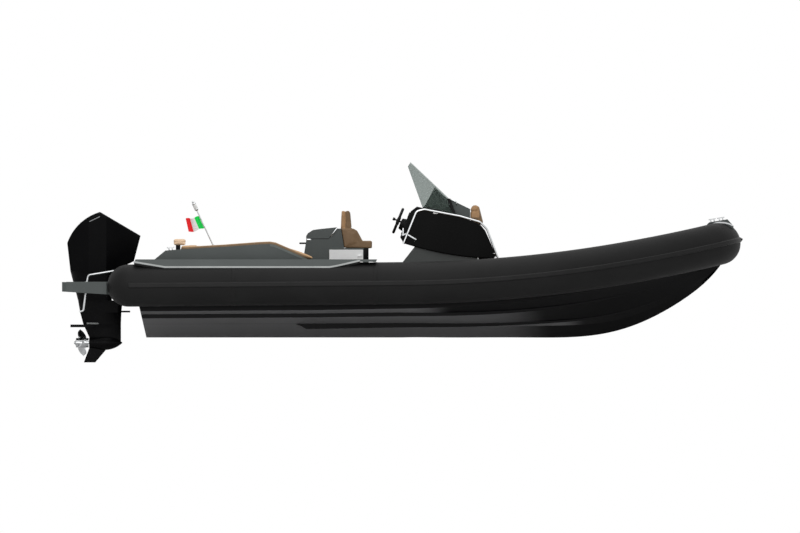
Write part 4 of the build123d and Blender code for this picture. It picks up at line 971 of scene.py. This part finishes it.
def makeStaffLight(look):
    lens, cups = bmesh.new(), bmesh.new()
    place = placed(look["topAt"], look["axis"])
    turned(lens, look["lens"], place)
    for profile in look["cups"]:
        turned(cups, profile, place)
    bmeshPiece("staffLens", lens, opalAcrylic, "boat")
    bmeshPiece("staffCups", cups, polishedSteel, "boat")


makeStaffLight(staffLook)
print("collar and staff dressed")

# Motor: clamp bolts, pin caps, cowl louvres, propeller nut, a pale cowl line that is a painted highlight,
# and anode bars whose pale line is a painted highlight
motorLook = {
    "plateY": 0.134, "bolts": [(-3.487, 0.33), (-3.49, 0.26), (-3.52, 0.14), (-3.545, 0.05)],
    "boltRadius": 0.011,
    "pinAt": (-3.55, 0.412), "pinY": 0.142, "pinRadius": 0.026,
    "pinCap": [(0, 0), (1, 0), (1, 0.006), (0.8, 0.01), (0, 0.01)],
    "line": [(-4.07, 1.082), (-3.935, 1.147)], "lineM": 0.01, "lineSinkM": 0.002, "lineDepthM": 0.004,
    "cowlY": 0.3,
    "louvres": [(-4.19, 1.062), (-4.225, 1.012), (-4.256, 0.962), (-4.284, 0.912)],
    "louvreSize": (0.34, 0.028, 0.01), "louvreRoundM": 0.004, "louvreNormal": (-0.83, 0, 0.55),
    "anodeAt": (-4.02, 0.049, -0.238), "anodeSize": (0.17, 0.016, 0.022), "anodeRoundM": 0.004,
    "nutAt": (-4.245, 0, -0.488), "nutRadius": 0.02, "washerRadius": 0.04, "washerM": 0.004,
}


def makeMotorDetails(look):
    bolts, pins, line, louvres, anodeHighlightBars, nut = (bmesh.new() for i in range(6))
    for side in (-1, 1):
        outwards = (0, side, 0)
        for x, z in look["bolts"]:
            bolt(bolts, placed((x, side * look["plateY"], z), outwards), look["boltRadius"])
        x, z = look["pinAt"]
        cap = widened(look["pinCap"], look["pinRadius"])
        turned(pins, cap, placed((x, side * look["pinY"], z), outwards))
        # a pale line along the cowl's side: painted highlight
        points = [(x, side * (look["cowlY"] - look["lineSinkM"]), z) for x, z in look["line"]]
        bar(line, points, (0, side * look["lineDepthM"], 0), (0, 0, look["lineM"]))
        # pale anode bars on the anti-ventilation plate; their pale line is a painted highlight
        x, y, z = look["anodeAt"]
        softBox(anodeHighlightBars, look["anodeSize"], look["anodeRoundM"], Matrix.Translation((x, side * y, z)))
    for x, z in look["louvres"]:
        place = placed((x, 0, z), look["louvreNormal"], (0, 1, 0))
        softBox(louvres, look["louvreSize"], look["louvreRoundM"], place)
    x, y, z = look["nutAt"]
    radius, thick = look["washerRadius"], look["washerM"]
    washer = [(0, 0), (radius, 0), (radius, thick), (0, thick)]
    turned(nut, washer, placed((x, y, z), (-1, 0, 0), (0, 1, 0)))
    bolt(nut, placed((x - thick, y, z), (-1, 0, 0), (0, 1, 0)), look["nutRadius"])
    bmeshPiece("clampBolts", bolts, polishedSteel, "boat")
    bmeshPiece("tiltPinCaps", pins, blackPaint, "swivel")
    bmeshPiece("cowlHighlightLine", line, paintedHighlightLacquer, "motor", smooth=False)
    bmeshPiece("cowlLouvres", louvres, blackPaint, "motor")
    bmeshPiece("anodeHighlightBars", anodeHighlightBars, trimAluminium, "motor")
    bmeshPiece("propellerNut", nut, polishedSteel, "propeller")


makeMotorDetails(motorLook)
print("motor dressed")


# Camera, floor and light
stageLook = {
    "widthM": 10.4, "centreX": -0.0325, "centreZ": 0.503, "cameraY": -40, "clipM": 200,
    "floorZ": -0.76, "floorM": 60, "floor": "#f4f4f4", "floorRoughness": 0.9, "worldLight": 0.62,
    "lamps": [  # name, place, target, size in metres, watts
        ("topLamp", (0, -2, 9), (0, 0, 0), 9, 350),
        ("sideLamp", (-3, -12, 5), (0, 0, 0.3), 8, 350),
    ],
}

camera = bpy.data.objects.new("camera", bpy.data.cameras.new("camera"))
scene.collection.objects.link(camera)
camera.data.type = "ORTHO"
camera.data.ortho_scale = stageLook["widthM"]
camera.data.clip_end = stageLook["clipM"]
camera.location = (stageLook["centreX"], stageLook["cameraY"], stageLook["centreZ"])
camera.rotation_euler = (math.pi / 2, 0, 0)
scene.camera = camera

# plain light for the object, and white for the rays that see the background
world = bpy.data.worlds.new("studio")
scene.world = world
world.use_nodes = True
worldTree = world.node_tree
path = addNode(worldTree, "ShaderNodeLightPath")
seen = path.outputs["Is Camera Ray"]
for ray in ("Is Glossy Ray", "Is Transmission Ray"):
    seen = addNode(
        worldTree, "ShaderNodeMath", [(0, seen), (1, path.outputs[ray])], operation="MAXIMUM"
    ).outputs["Value"]
strength = addNode(
    worldTree, "ShaderNodeMapRange", [("Value", seen)], {"To Min": stageLook["worldLight"], "To Max": 1.0}
)
background = worldTree.nodes["Background"]
background.inputs["Color"].default_value = (1, 1, 1, 1)
worldTree.links.new(strength.outputs["Result"], background.inputs["Strength"])

floorShape = bmesh.new()
bmesh.ops.create_grid(floorShape, x_segments=1, y_segments=1, size=stageLook["floorM"])
bmesh.ops.translate(floorShape, verts=floorShape.verts, vec=(0, 0, stageLook["floorZ"]))
floorMesh = bpy.data.meshes.new("floor")
floorShape.to_mesh(floorMesh)
floorShape.free()
floor = bpy.data.objects.new("floor", floorMesh)
scene.collection.objects.link(floor)
floorMaterial, _, floorShader = newMaterial("paleFloor")
floorShader.inputs["Base Color"].default_value = linear(stageLook["floor"])
floorShader.inputs["Roughness"].default_value = stageLook["floorRoughness"]
floorMesh.materials.append(floorMaterial)

for name, place, target, size, power in stageLook["lamps"]:
    lamp = bpy.data.objects.new(name, bpy.data.lights.new(name, "AREA"))
    scene.collection.objects.link(lamp)
    lamp.data.size, lamp.data.energy = size, power
    lamp.location = place
    lamp.rotation_euler = (Vector(target) - Vector(place)).to_track_quat("-Z", "Y").to_euler()
print("stage set")
